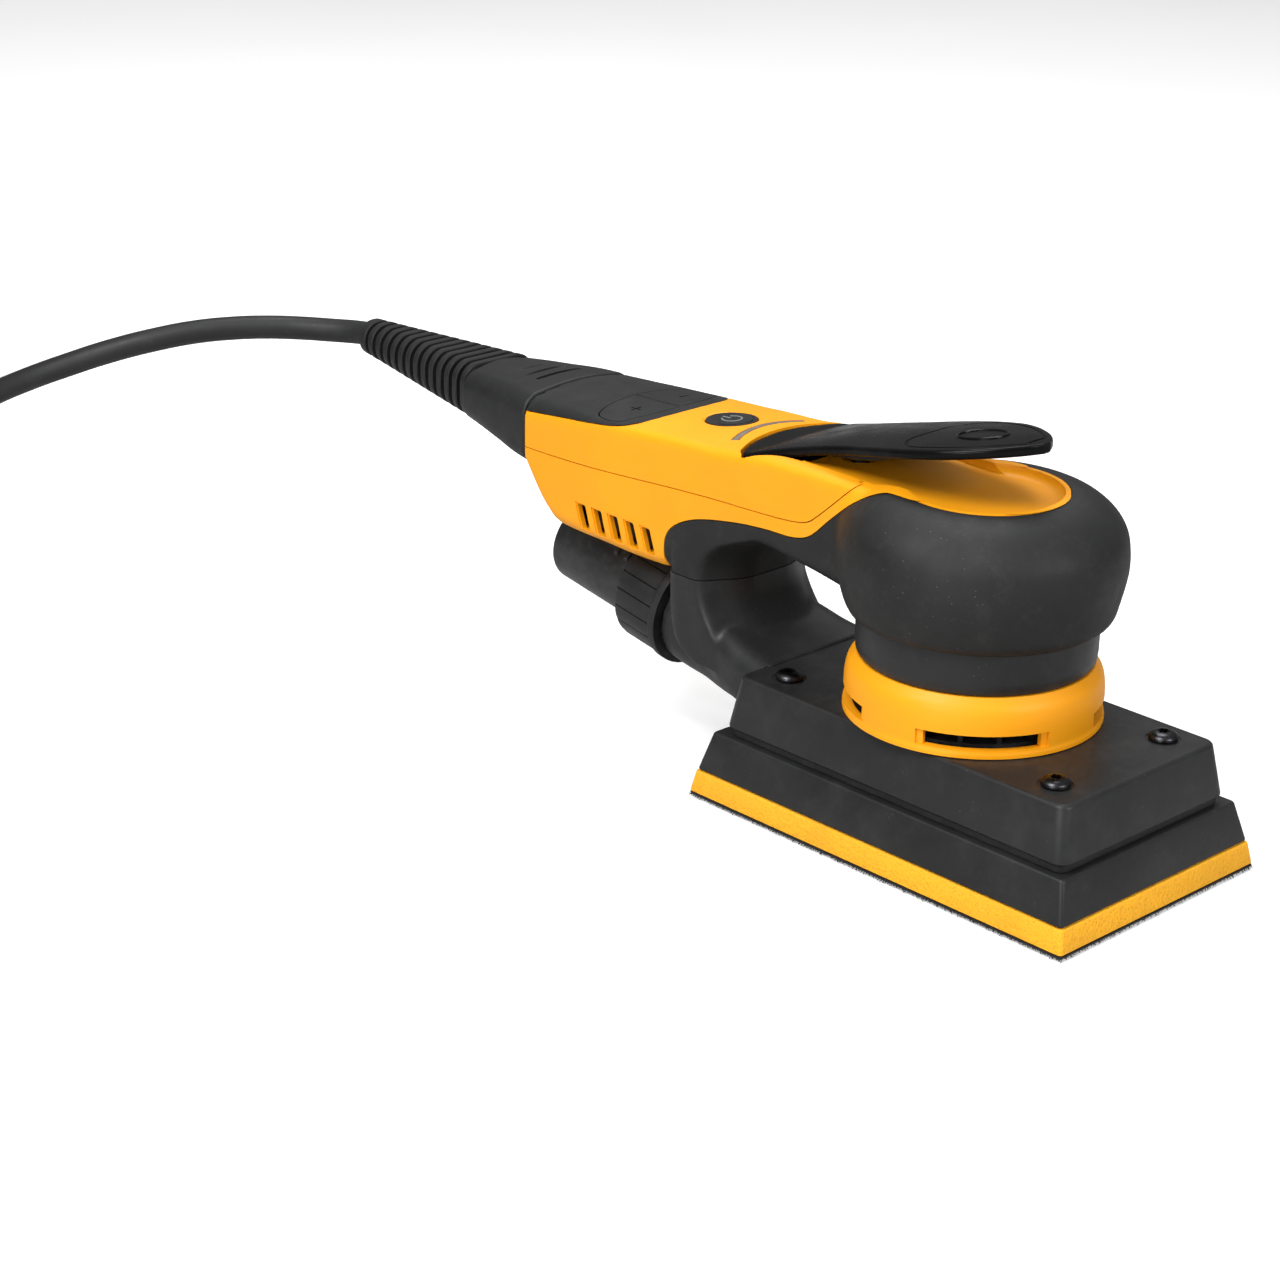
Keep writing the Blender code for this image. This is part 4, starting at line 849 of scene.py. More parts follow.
def make_mains_plug():
    """A two-pin plug with a rounded flat body, a collar at its heel and grip ridges on its sides."""
    x, y = COIL_CENTRE
    angle = math.radians(TAIL_END)
    heel = Vector((x + TAIL_R * math.cos(angle), y + TAIL_R * math.sin(angle), TAIL_Z))
    onward = Vector((math.sin(angle), -math.cos(angle), 0))
    inward = Vector((-math.cos(angle), -math.sin(angle), 0))
    ahead = (onward + 0.9 * inward).normalized()
    across = Vector((0, 0, 1)).cross(ahead)
    shape = [(2.3, 5.4, 3.7, 8.0), (7, 5.6, 3.7, 8.0), (12, 6.4, 3.7, 8.2), (18, 12, 3.7, 8.3),
             (23, 15, 3.7, 8.3), (28, 16.4, 3.7, 8.3), (38, 16.9, 3.7, 8.3), (47, 17.3, 3.7, 8.3),
             (49.4, 17.2, 3.6, 8.2), (50, 16.6, 3.2, 7.8)]
    sections = []
    for along, half, low, high in smooth_table(shape, 0.5):
        ridge = 0.25 * (1 - math.cos(along * math.pi / 1.5)) / 2 if 30 < along < 45 else 0
        flat = rounded_rectangle(half - ridge, (low + high) / 2, 3.2, 6, (0, (high - low) / 2))
        sections.append([tuple(heel + across * a + ahead * along + Vector((0, 0, b))) for a, b in flat])
    plug = loft("plug_on_cord", sections)
    return finish(plug, "cord_rubber", "housing", ("mains_plug",))


# The hand-held body

def top_height(x, y):
    """The height of the body's crowned top."""
    table = np.array(BODY)
    at = np.array([float(y)])
    half, top, corner = (float(eased(table[:, 0], table[:, c], at)[0]) for c in (1, 2, 4))
    reach = x / (half - corner)
    return top + BODY_CROWN * max(1 - reach * reach, 0)


def make_shell():
    """The dome, the body behind it and the grip's leg as one soft skin, before it is cut into pieces."""
    rim = [DOME[0], *flowing(DOME[1:-1], 8), DOME[-1]]
    parts = [turned("dome", rim, 180), body_loft("body", BODY, crown=BODY_CROWN, steps=10, spacing=1.2)]
    parts.append(leg_loft("leg", PILLAR))
    parts.append(body_loft("web", WEB, steps=10, spacing=1.2))
    shell = remeshed(joined("shell", parts), 0.8, 3)
    group = shell.vertex_groups.new(name="neck")
    for vertex in shell.data.vertices:
        x, y, z = vertex.co / MM
        if y < 14 or not 60 < z < 97:
            continue
        away = abs(math.hypot(x, y) - 38.0)
        weight = step_up(1.35 - away / 13) * step_up((97 - z) / 9) * step_up((y - 14) / 12)
        if weight > 0.01:
            group.add([vertex.index], weight, "REPLACE")
    blend = shell.modifiers.new("blend", "SMOOTH")
    blend.vertex_group = "neck"
    blend.factor = 0.5
    blend.iterations = 130
    frozen(shell)
    shell.vertex_groups.clear()
    return shell


def grip_edge(distance):
    return offset_line(flowing(GRIP_EDGE, 6), distance)


def cover_seam(distance):
    return offset_line(flowing(COVER_SEAM, 6), distance)


def make_grip(shell):
    """The soft rubber over the dome and round the finger hole, open over the motor."""
    grip = copied(shell, "soft_grip")
    keep = grip_edge(GAP / 2) + [(-45, GRIP_FOOT), (97.2, GRIP_FOOT)]
    combine(grip, slab("keep", keep, -45, 45, along="X"), "INTERSECT")
    rim, high, low = CAP_R + GAP, 99.9, CAP_Z[0] - GAP
    inside = [(0, high), (rim, high), (rim, low), (NECK_R + GAP, 92.3), (NECK_R + GAP, 60), (0, 60)]
    combine(grip, turned("motor_space", inside, 128))
    wide, low = CAP_REAR + GAP, CAP_Z[0] - GAP
    combine(grip, block("cap_space", (-wide, 5, low), (wide, 40, ABOVE)))
    finish(grip, "grip_rubber", "housing", ("rubber_grip",), 40)


def body_cavity():
    """The room inside the body, less the columns that the case screws turn into."""
    rows = [(y, half, top, bottom, 3, 3) for y, half, top, bottom in CAVITY]
    cavity = loft("cavity", [body_section(*row, steps=2) for row in rows])
    for x, y in case_screws_at():
        combine(cavity, disc("column", 3.6, 50, 95, (x, y), 24))
    return cavity


def case_screws_at():
    """Where the four case screws stand."""
    return [(x, y) for y in (104.5, 137.0) for x in (-15.0, 15.0)]


def dish_cutter():
    """The dish in the dome's top with a soft foot to its wall, and the channel on under the lever."""
    foot = arc((DISH_R - 3.0, DISH_FLOOR + 3.0), 3.0, 0, -90, 8)
    rim = DISH_R + 0.6
    dish = turned("dish", [(0, ABOVE), (rim, ABOVE), (rim, DISH_FLOOR + 3.6), *foot, (0, DISH_FLOOR)], 128)
    half, soft = CHANNEL_HALF, 0.4
    floor = arc((half - soft, DISH_FLOOR + soft), soft, 0, -90, 5)
    section = floor + [(-x, z) for x, z in reversed(floor)] + [(-half, ABOVE), (half, ABOVE)]
    channel = loft("channel", [[(x, y, z) for x, z in section] for y in (6, LEVER_WELL_Y + 2)])
    return combine(dish, channel, "UNION")


def lever_outline(margin, front):
    """The lever from above behind a line, with a margin all round."""
    side = []
    for y, half, _ in smooth_table([row for row in LEVER if row[0] >= front - 8], 0.8)[::-1]:
        rear_edge = half < 20 and y > 68
        if y >= front:
            side.append((half + margin, y + (margin if rear_edge else 0)))
    straight = [(side[-1][0], front - 1), (-side[-1][0], front - 1)]
    return side + straight + [(-x, y) for x, y in reversed(side)]


def vent_slots(housing):
    """Five slanted slots low in each side, each through a sunk mouth, with a black sheet behind them as
    painted shade inside the openings.
    """
    for side in (-1, 1):
        near, far = sorted((side * 17.5, side * 20.4))
        combine(housing, block("pocket", (near, 99, 57.6), (far, 138, 66.6)))
        near, far = sorted((side * 18.2, side * 18.6))
        # painted shade: a black sheet behind the slots makes their insides read dark
        name = "vent_shade_sheet_l" if side < 0 else "vent_shade_sheet_r"
        shade_sheet = block(name, (near, 99.3, 57.8), (far, 137.7, 66.4))
        finish(shade_sheet, "black_plastic", "housing")
        for i in range(5):
            y = 104.0 + i * 6.8
            corners = [(y - 3.0, 57.9), (y + 0.4, 57.9), (y + 3.0, 65.2), (y - 0.4, 65.2)]
            reach = sorted((side * 19.25, side * 30))
            combine(housing, bevelled(slab("slot", corners, *reach, along="X"), 0.5, 3, 20))
            mouth = [(y - 3.5, 57.4), (y + 0.9, 57.4), (y + 3.5, 65.7), (y - 0.9, 65.7)]
            reach = sorted((side * 21.9, side * 30))
            combine(housing, slab("mouth", mouth, *reach, along="X"))


def make_lower_housing(shell):
    """The yellow lower housing with the cap under the dish, hollowed for what it holds."""
    lower = copied(shell, "housing_lower_skin")
    region = grip_edge(-GAP / 2) + [(-45, 106)] + list(reversed(cover_seam(GAP / 2))) + [(170, 50)]
    region = slab("region", region, -45, 45, along="X")
    combine(region, block("cap_rear", (-CAP_REAR, 10, CAP_Z[0]), (CAP_REAR, 28, ABOVE)), "UNION")
    combine(lower, region, "INTERSECT")
    rear = LEVER_WELL_Y - GAP / 2
    tongue = [(26, 97.8), (26, 94.5), (32.5, 88), (39.8, 81.9), (rear, 79.4), (rear, 97.8)]
    combine(lower, slab("tongue", tongue, -TONGUE_HALF, TONGUE_HALF, along="X"), "UNION")
    combine(lower, body_cavity())
    combine(lower, disc("cap", CAP_R, *CAP_Z, steps=128), "UNION")
    space = [(0, 95.3), (22.5, 95.3), (NECK_R + GAP, 92.3), (NECK_R + GAP, 60), (0, 60)]
    combine(lower, turned("motor_clearance", space, 96))
    combine(lower, dish_cutter())
    combine(lower, disc("plunger_well", 6.0, 94.9, 99, (0, PLUNGER_Y)))
    combine(lower, disc("plunger_hole", 2.8, 80, 96, (0, PLUNGER_Y), 24))
    combine(lower, socket_hole())
    combine(lower, outlet_disc("tube_space", TUBE_R[1] + OUTLET_SPACE, 170, 120))
    combine(lower, outlet_disc("collar_space", COLLAR_R[1] + OUTLET_SPACE, 124.5, 90))
    vent_slots(lower)
    for x, y in case_screws_at():
        combine(lower, disc("bore", 1.8, 50, 84, (x, y), 20))
        combine(lower, disc("seat", 3.4, 40, 58.6, (x, y), 32))
    finish(lower, "yellow_plastic", "housing", ("lower_housing",), 35)


def socket_hole():
    """The opening in the rear for the mains inlet."""
    low, high = SOCKET
    return block("socket_hole", (low[0] - GAP, 145, low[2] - GAP), (high[0] + GAP, 165, high[2] + GAP))


def panel_outline(margin=0.0):
    """The control panel from above, with a bowed front edge."""
    front = [(-24, 115.4), (-18, 113.1), (-12, 111.4), (-6, 110.35), (0, 110), (6, 110.35), (12, 111.4),
             (18, 113.1), (24, 115.4)]
    return [(x, y - margin) for x, y in front] + [(24, 158.5), (-24, 158.5)]


def panel_region(name, margin=0.0):
    piece = slab(name, panel_outline(margin), 80, ABOVE)
    side = offset_line(flowing(PANEL_EDGE, 5), margin) + [(106, ABOVE), (158.7, ABOVE)]
    return combine(piece, slab("side", side, -30, 30, along="X"), "INTERSECT")


def button_outline(side, margin=0.0):
    """One of the two speed buttons: a sector between the front edge, the middle and an arc."""
    low, m = 0.55 - margin, margin
    front = flowing([(low, 114.6 - m), (10, 115.6 - m), (19.4 + m, 119.2 - m)], 5)
    rear = [(20.2 + m, 123.5), (18.6 + m, 128.6 + m), (12, 131.9 + m), (low, 133.3 + m)]
    return [(side * x, y) for x, y in front + flowing(rear, 5)]


def inner_skin(inset):
    """The body drawn in by a wall's thickness."""
    return body_loft("core", BODY, inset=inset, crown=BODY_CROWN, steps=4)


def status_outline(margin=0.0):
    """The status light's narrow arc in front of the power button."""
    radius, centre_y, half = STATUS_ARC
    reach = STATUS_HALF + margin
    return ring_sector(radius + reach, radius - reach, 90 - half, 90 + half, 30, centre=(0, centre_y))


def make_top_cover(shell):
    """The yellow top cover, with wells for the lever, the panel, the power button and the light."""
    cover = copied(shell, "housing_top_skin")
    region = cover_seam(-GAP / 2) + [(22, 106), (170, 106)]
    combine(cover, slab("region", region, -45, 45, along="X"), "INTERSECT")
    rear = LEVER_WELL_Y + GAP / 2
    wide = TONGUE_HALF + GAP
    combine(cover, block("tongue_space", (-wide, 0, 70), (wide, rear, ABOVE)))
    combine(cover, body_cavity())
    combine(cover, dish_cutter())
    combine(cover, slab("lever_well", lever_outline(0.8, LEVER_WELL_Y), LEVER_WELL_FLOOR, ABOVE))
    combine(cover, block("lug_well", (-8.6, 57.4, 88.9), (8.6, 66.6, 96)))
    combine(cover, across_pin("pin_hole", LEVER_PIN_R + GAP, 13.3))
    combine(cover, socket_hole())
    combine(cover, combine(panel_region("pocket", GAP), inner_skin(PANEL_THICK + GAP)))
    for side in (-1, 1):
        combine(cover, combine(slab("well", button_outline(side, GAP), 86, ABOVE), inner_skin(3.2)))
    x, y = POWER_AT
    combine(cover, disc("power_well", POWER_R + GAP, 92.6, ABOVE, POWER_AT, 64))
    rim = [(POWER_R + 1.3, 3), (POWER_R + 1.3, 0.9), (POWER_R, 0), (POWER_R, -1)]
    where = moved_to(x, y, top_height(0, y) - 0.75) @ Matrix.Rotation(-TOP_SLOPE, 4, "X")
    combine(cover, turned("power_dimple", [(0, 3), *rim, (0, -1)], 64, where))
    combine(cover, slab("status_well", status_outline(GAP), 94.2, ABOVE))
    for x, y in case_screws_at():
        combine(cover, disc("bore", 1.8, 50, 84, (x, y), 20))
    finish(cover, "yellow_plastic", "housing", ("top_cover",), 35)


def across_pin(name, radius, half):
    """A cylinder on the lever's axis."""
    y, z = LEVER_PIN
    where = moved_to(0, y, z) @ Matrix.Rotation(math.radians(90), 4, "Y")
    return turned(name, [(0, half), (radius, half), (radius, -half), (0, -half)], 48, where)


def printed(name, outline):
    """A thin mark on the power button, drawn about its middle."""
    x, y = POWER_AT
    flat = [(x + a, y + b, top_height(a, y + b)) for a, b in outline]
    return loft(name, [[(a, b, z + rise) for a, b, z in flat] for rise in (-0.2, 0.12)])


def make_controls(shell):
    """The panel with its plus and minus buttons, the power button and the status light."""
    panel = combine(copied(shell, "panel_skin"), panel_region("region"), "INTERSECT")
    combine(panel, inner_skin(PANEL_THICK))
    for side in (-1, 1):
        combine(panel, slab("window", button_outline(side, GAP), 80, ABOVE))
    finish(panel, "black_plastic", "housing", ("control_panel",), 35)
    for side, name in ((-1, "plus"), (1, "minus")):
        region = slab("region", button_outline(side), 86, ABOVE)
        button = combine(copied(shell, f"{name}_key"), region, "INTERSECT")
        combine(button, inner_skin(PANEL_THICK))
        x, y = side * SIGN_AT[0], SIGN_AT[1]
        level = top_height(x, y) - 0.3
        long, thin = SIGN_HALF
        combine(button, block("bar", (x - long, y - thin, level), (x + long, y + thin, level + 3)))
        if name == "plus":
            combine(button, block("bar", (x - thin, y - long, level), (x + thin, y + long, level + 3)))
        finish(button, "black_plastic", f"{name}_button", (f"{name}_button",), 35)
    region = disc("region", POWER_R, POWER_FLOOR, ABOVE, POWER_AT, 96)
    power = combine(copied(shell, "power_key"), region, "INTERSECT")
    x, y = POWER_AT
    level = top_height(0, y)
    groove = [(6.45, level + 3), (6.45, level - 0.2), (5.95, level - 0.2), (5.95, level + 3)]
    combine(power, turned("groove", groove, 64, moved_to(x, y)))
    finish(power, "black_plastic", "power_button", ("power_button",), 35)
    bar = [(-0.22, 0.6), (0.22, 0.6), (0.22, 3.6), (-0.22, 3.6)]
    parts = [printed("power_mark", ring_sector(3.1, 2.65, 125, 415, 40)), printed("power_line", bar)]
    mark = joined("power_mark_print", parts)
    finish(mark, "print_grey", "power_button", angle=35)
    region = slab("region", status_outline(), 94.5, ABOVE)
    status = combine(copied(shell, "status_lens"), region, "INTERSECT")
    finish(status, "grey_lens", "housing", ("status_light",), 35)


# Lever

def lever_edge(half):
    """The radius of the lever's upper edge and the height of its crown, where it is this wide."""
    return min(1.15, half * 0.5), 0.6 * min(1.0, half / 12)


def make_lever():
    """A long thumb paddle: crowned top, rounded rim, shallow lips under it and a lug for its pin."""
    rows = smooth_table(LEVER, 0.5)
    sections = []
    for y, half, top in rows:
        below = min(0.9, half * 0.4)
        corner, crown = lever_edge(half)
        sections.append(body_section(y, half, top, top - LEVER_THICK, corner, below, crown, 6))
    lever = loft("lever_paddle", sections)
    for start, stop, soft in LEVER_LIPS:
        lip = []
        for y, half, top in rows:
            if start < y < stop:
                deep = 1.3 * step_up((y - start) / soft) * step_up((stop - y) / soft) + 0.05
                lip.append(body_section(y, half - 1.6, top - 1, top - LEVER_THICK - deep, 0.4, 0.5, 0, 3))
        combine(lever, loft("lip", lip), "UNION")
    pin_y, pin_z = LEVER_PIN
    lug = [(pin_y - 3.6, 96.9), (pin_y - 3.3, pin_z - 1.2)]
    lug += arc((pin_y, pin_z), 3.4, 205, 335, 12)
    lug += [(pin_y + 3.3, pin_z - 1.2), (pin_y + 3.6, 96.0)]
    combine(lever, slab("lug", lug, -8, 8, along="X"), "UNION")
    combine(lever, across_pin("bore", LEVER_PIN_R + 0.1, 20))
    combine(lever, disc("spring_seat", 3.7, 90, 98.6, (0, SPRING_Y), 32))
    combine(lever, lever_groove())
    combine(lever, lever_badge(), "UNION")
    finish(lever, "gloss_black", "lever", ("lever",), 40)


def lever_top(x, y):
    table = np.array(sorted(LEVER))
    at = np.array([float(y)])
    half, top = (float(eased(table[:, 0], table[:, c], at)[0]) for c in (1, 2))
    corner, crown = lever_edge(half)
    reach = x / max(half - corner, 0.1)
    return top + crown * max(1 - reach * reach, 0)


def closed_tube(name, points, radius, sides=8):
    """A closed loop of tube, lying level."""
    line = [Vector(p) for p in points]
    sections = []
    for i, point in enumerate(line):
        ahead = (line[(i + 1) % len(line)] - line[i - 1]).normalized()
        side = ahead.cross(Vector((0, 0, 1))).normalized()
        over = side.cross(ahead)
        turns = [2 * math.pi * k / sides for k in range(sides)]
        sections.append([tuple(point + radius * (side * math.cos(t) + over * math.sin(t))) for t in turns])
    return loft(name, sections, cyclic=True)


def lever_groove():
    """The line round the thumb pad at the lever's front, a little inside the rim."""
    rear, inset = 20.0, 3.2
    right = []
    for y, half, _ in smooth_table(LEVER, 0.7):
        if -16 < y < rear:
            soft = math.sqrt(max(1 - max((y - rear + 9) / 9, 0) ** 2, 0))
            right.append(((half - inset) * (0.25 + 0.75 * soft) if half > inset + 0.5 else 0.5, y))
    outline = right + [(-x, y) for x, y in reversed(right)]
    points = [(x, y, lever_top(x, y) + 0.12) for x, y in outline]
    return closed_tube("groove", points, 0.5)


def lever_badge():
    """A plain raised oval ring on the thumb pad."""
    points = []
    for i in range(72):
        a = 2 * math.pi * i / 72
        x, y = 5.6 * math.cos(a), 2.0 + 7.2 * math.sin(a)
        points.append((x, y, lever_top(x, y)))
    return closed_tube("badge", points, 0.42)


def make_plunger():
    """The switch's pin under its rubber boot, given a mesh of its own."""
    low = PLUNGER_FOOT
    boot = [(0, 99.3), (2.2, 99.25), (3.4, 98.95), (4.2, 98.5), (4.4, 98.2), (4.9, 98.35), (5.4, 98.1),
            (5.4, 97.6), (2.5, 97.3), (2.5, low), (0, low)]
    plunger = turned("plunger_boot", boot, 64, moved_to(0, PLUNGER_Y))
    finish(plunger, "grip_rubber", "housing", ("switch_plunger",), 50)
    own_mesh(plunger)


# Pad and shroud

HOOK_TOP = 1.3
FOAM = (1.6, 7.9)
PLATE = (8.2, 19.6)
DUST_HOLE_R = 2.0
POST_R = 4.0
SHROUD_WALL = 2.0
SHROUD_MOUTH_R = 28.0
VENT_SLOT = (39.6, 43.8)
VENT_SLOT_HALF_ANGLE = 26.6


def with_dust_holes(piece):
    for x, y in DUST_HOLES:
        combine(piece, disc("dust_hole", DUST_HOLE_R, -2, 26, (x + PAD_CENTRE[0], y + PAD_CENTRE[1]), 32))
    return piece


def make_hook_layer():
    """The hook sheet with its short nylon threads, which stand thickest round the edge."""
    hx, hy = PAD_HALF
    sheet = frustum("hook_sheet", 0.75, HOOK_TOP, (hx - 0.2, hy - 0.2), (hx, hy), PAD_CORNER, PAD_CENTRE)
    finish(with_dust_holes(sheet), "hook_layer", "pad", ("hook_layer",))
    pick = random.Random(7)
    points, faces = [], []
    round_trip = 4 * (hx + hy)
    count = 1900
    for i in range(count):
        place, out = edge_point((i + pick.random()) / count * round_trip, hx, hy)
        root = place + Vector((0, 0, 1.0)) - out * pick.uniform(0.3, 1.6)
        lean = Vector((-out.y, out.x, 0)) * pick.uniform(-0.4, 0.4)
        add_thread(points, faces, root, root + out * pick.uniform(-0.2, 0.75) + lean, pick)
    pitch = 2.2
    for i in range(int((2 * hx - 4) / pitch)):
        for j in range(int((2 * hy - 4) / pitch)):
            x, y = (i + 0.5) * pitch + 2 - hx, (j + 0.5) * pitch + 2 - hy
            if all(math.hypot(x - a, y - b) > DUST_HOLE_R + 0.8 for a, b in DUST_HOLES):
                root = Vector((*PAD_CENTRE, 1.0)) + Vector((x, y, 0))
                lean = Vector((pick.uniform(-0.5, 0.5), pick.uniform(-0.5, 0.5), 0))
                add_thread(points, faces, root, root + lean, pick)
    threads = oriented(mesh_piece("hook_threads", points, faces))
    finish(threads, "hook_layer", "pad", angle=60)


def add_thread(points, faces, root, below, pick):
    """One thread from the sheet down to the floor, with a small hooked end."""
    low = Vector((below.x, below.y, pick.uniform(0.06, 0.4)))
    hook = low + Vector((pick.uniform(-0.25, 0.25), pick.uniform(-0.25, 0.25), 0.3))
    base = len(points)
    path = [root, low, hook]
    for k, at in enumerate(path):
        r = 0.1 if k < 2 else 0.06
        points.extend(((at.x + r, at.y, at.z), (at.x - r / 2, at.y + r * 0.87, at.z + r / 3),
                       (at.x - r / 2, at.y - r * 0.87, at.z + r / 3)))
    for k in (0, 3):
        for a, b in ((0, 1), (1, 2), (2, 0)):
            faces.append((base + k + a, base + k + b, base + k + 3 + b, base + k + 3 + a))
    faces.append((base, base + 1, base + 2))
    faces.append((base + 6, base + 8, base + 7))


def edge_point(along, hx, hy):
    """A point on the pad's edge, a distance round it, and the way out of it there."""
    centre = Vector((*PAD_CENTRE, 0))
    sides = ((2 * hx, (-hx, -hy), (1, 0), (0, -1)), (2 * hy, (hx, -hy), (0, 1), (1, 0)),
             (2 * hx, (hx, hy), (-1, 0), (0, 1)), (2 * hy, (-hx, hy), (0, -1), (-1, 0)))
    for length, start, ahead, out in sides:
        if along <= length:
            return centre + Vector((*start, 0)) + Vector((*ahead, 0)) * along, Vector((*out, 0))
        along -= length
    return centre + Vector((-hx, -hy, 0)), Vector((0, -1, 0))


def make_pad():
    """The hook sheet, the foam and the backing plate, all with the dust holes through them."""
    make_hook_layer()
    hx, hy = PAD_HALF
    foam = frustum("foam_block", *FOAM, (hx, hy), (hx - 1.2, hy - 1.2), PAD_CORNER, PAD_CENTRE)
    with_dust_holes(bevelled(foam, 0.45, 3))
    finish(foam, "pad_foam", "pad", ("pad_foam",))
    foot, top = (hx - 1.5, hy - 1.5), (hx - 4.5, hy - 4.5)
    plate = frustum("backing_plate", *PLATE, foot, top, PAD_CORNER, PAD_CENTRE)
    bevelled(plate, 0.7, 4)
    with_dust_holes(plate)
    for x, y in POST_AT:
        at = (x + PAD_CENTRE[0], y + PAD_CENTRE[1])
        combine(plate, disc("post_socket", POST_R + ORBIT + 0.7, 10.5, 26, at, 64))
    combine(plate, disc("spindle_bore", 5.3, 10.6, 26, PAD_CENTRE, 64))
    finish(plate, "black_plastic", "pad", ("pad_plate",))


def make_shroud():
    """A hollow box over the pad, open to the motor, the screws and the duct."""
    low, high = SHROUD_Z
    (bx, by), (tx, ty) = SHROUD_HALF
    shroud = frustum("motor_shroud", low, high, (bx, by), (tx, ty), SHROUD_CORNER, (0, 0), 10)
    bevelled(shroud, 1.1, 5)
    drop_in = 2.5
    wall = SHROUD_WALL
    lean = (bx - tx) / (high - low)
    inner_top = (tx - wall + lean * drop_in, ty - wall + lean * drop_in)
    inner_low = (bx - wall + lean, by - wall + lean)
    combine(shroud, frustum("inside", low - 1, high - drop_in, inner_low, inner_top, SHROUD_CORNER - wall))
    combine(shroud, disc("mouth", SHROUD_MOUTH_R, 30, 45, (0, 0), 96))
    combine(shroud, body_loft("channel", DUCT_CHANNEL, steps=6))
    for x, y in POST_AT:
        combine(shroud, disc("screw_hole", 1.8, 30, 45, (x, y), 32))
        seat = [(0, 40), (5.2, 40), (4.7, 37.05), (0, 37.05)]
        combine(shroud, turned("seat", seat, 64, moved_to(x, y)))
    finish(shroud, "black_plastic", "housing", ("shroud",), 25)


def make_shroud_screws():
    """Button-head screws with a six-lobed recess."""
    head = [(0, 39.5), (1.7, 39.48), (2.6, 39.3), (3.3, 38.95), (3.8, 38.5), (4.0, 38.1), (4.0, 37.6),
            (3.9, 37.45), (1.5, 37.45), (1.5, 27), (0, 27)]
    lobes = [((1.42 + 0.2 * math.cos(6 * a)) * math.cos(a), (1.42 + 0.2 * math.cos(6 * a)) * math.sin(a))
             for a in (2 * math.pi * i / 60 for i in range(60))]
    for i, (x, y) in enumerate(POST_AT):
        screw = turned(f"button_head_{i + 1}", head, 64, moved_to(x, y))
        combine(screw, slab("lobes", [(x + a, y + b) for a, b in lobes], 38.0, 42))
        finish(screw, "black_steel", "housing", (f"shroud_screw_{i + 1}",), 30)


def make_vent_ring():
    """A tapering ring with four long slots in it, each with a shallow step at both ends."""
    outer = flowing([(31.9, 53.4), (33.9, 50.6), (34.6, 47.5), (34.75, 44.5), (34.72, 39.2)], 6)
    outer += [(34.9, 38.75), (34.95, 38.5), (34.95, 37.55)]
    inner = [(32.4, 37.55), (32.4, 46.5), *flowing([(31.9, 49.0), (30.8, 51.2), (29.9, 52.4)], 4)]
    inner += [(29.9, 53.4)]
    vent = turned("vent_band", outer + inner, 160)
    low, high = VENT_SLOT
    span = VENT_SLOT_HALF_ANGLE
    for i in range(4):
        middle = 45 + 90 * i
        combine(vent, slab("slot", ring_sector(40, 28, middle - span, middle + span, 24, 16), low, high))
        for side in (-1, 1):
            near = middle + side * (span - 0.5)
            far = middle + side * (span + 3.2)
            combine(vent, slab("step", ring_sector(40, 34.0, near, far, 6), low, high))
    finish(vent, "yellow_plastic", "housing", ("vent_ring",), 30)


def make_motor_can():
    """A cup round the motor, with a seat for each bearing."""
    cup = [(NECK_R - 0.8, 53.7), (29.6, 53.7), (29.6, 58.4), (14, 58.4), (14, 54.2), (5.6, 54.2),
           (5.6, 55.2), (11.3, 55.2), (11.3, 62.4), (28.9, 62.4), (28.9, 91.9), (NECK_R, 91.9),
           (NECK_R, 65.5), (NECK_R, 57), (NECK_R - 0.25, 54.6)]
    finish(turned("motor_can", cup, 128), "black_plastic", "housing", ("motor_housing",), 30)


# Dust outlet

def make_duct():
    """The duct from the shroud up to the outlet, one soft moulding with the foot of the grip's leg."""
    parts = [body_loft("run", DUCT_RUN, steps=10, spacing=1.0), leg_loft("pillar", DUCT_PILLAR)]
    parts.append(outlet_disc("boss", 16.2, DUCT_END, 92))
    duct = remeshed(joined("dust_duct", parts), 0.75, 7, 0.6)
    combine(duct, block("above", (-60, 20, 54.85), (60, 130, 90)))
    combine(duct, outlet_disc("behind", 30, 130, DUCT_END, 48))
    low, high = SHROUD_Z
    (bx, by), (tx, ty) = SHROUD_HALF
    lean = (bx - tx) / (high - low)
    near = 0.08
    around = frustum("around", low - 5, high + near, (bx + near + 5 * lean, by + near + 5 * lean),
                     (tx + near, ty + near), SHROUD_CORNER, (0, 0), 10)
    combine(duct, bevelled(around, 1.1, 5))
    combine(duct, body_loft("channel", DUCT_CHANNEL, steps=6))
    combine(duct, outlet_disc("outlet_bore", TUBE_R[1] + GAP, 112, 93))
    finish(duct, "black_plastic", "housing", ("extraction_duct",), 35)


def make_outlet():
    """The swivelling tube, with two low teeth on its top behind the collar."""
    inner, outer = TUBE_R
    low, high = TUBE_Y
    rim = [(outer - 0.8, high), (outer - 0.25, high - 0.2), (outer, high - 0.8), (outer, low), (inner, low),
           (inner, high - 0.6), (inner + 0.4, high)]
    pipe = on_outlet("outlet_pipe", rim, 128)
    near, far = outer - 0.4, outer + 0.8
    for y in TOOTH_AT:
        tooth = on_outlet("tooth", [(near, y), (far, y), (far, y + TOOTH_LONG), (near, y + TOOTH_LONG)])
        combine(pipe, combine(tooth, block("upper", (-11, 110, 47), (11, 145, 70)), "INTERSECT"), "UNION")
    finish(pipe, "black_plastic", "hose_swivel", ("outlet_tube",), 30)
    make_collar()


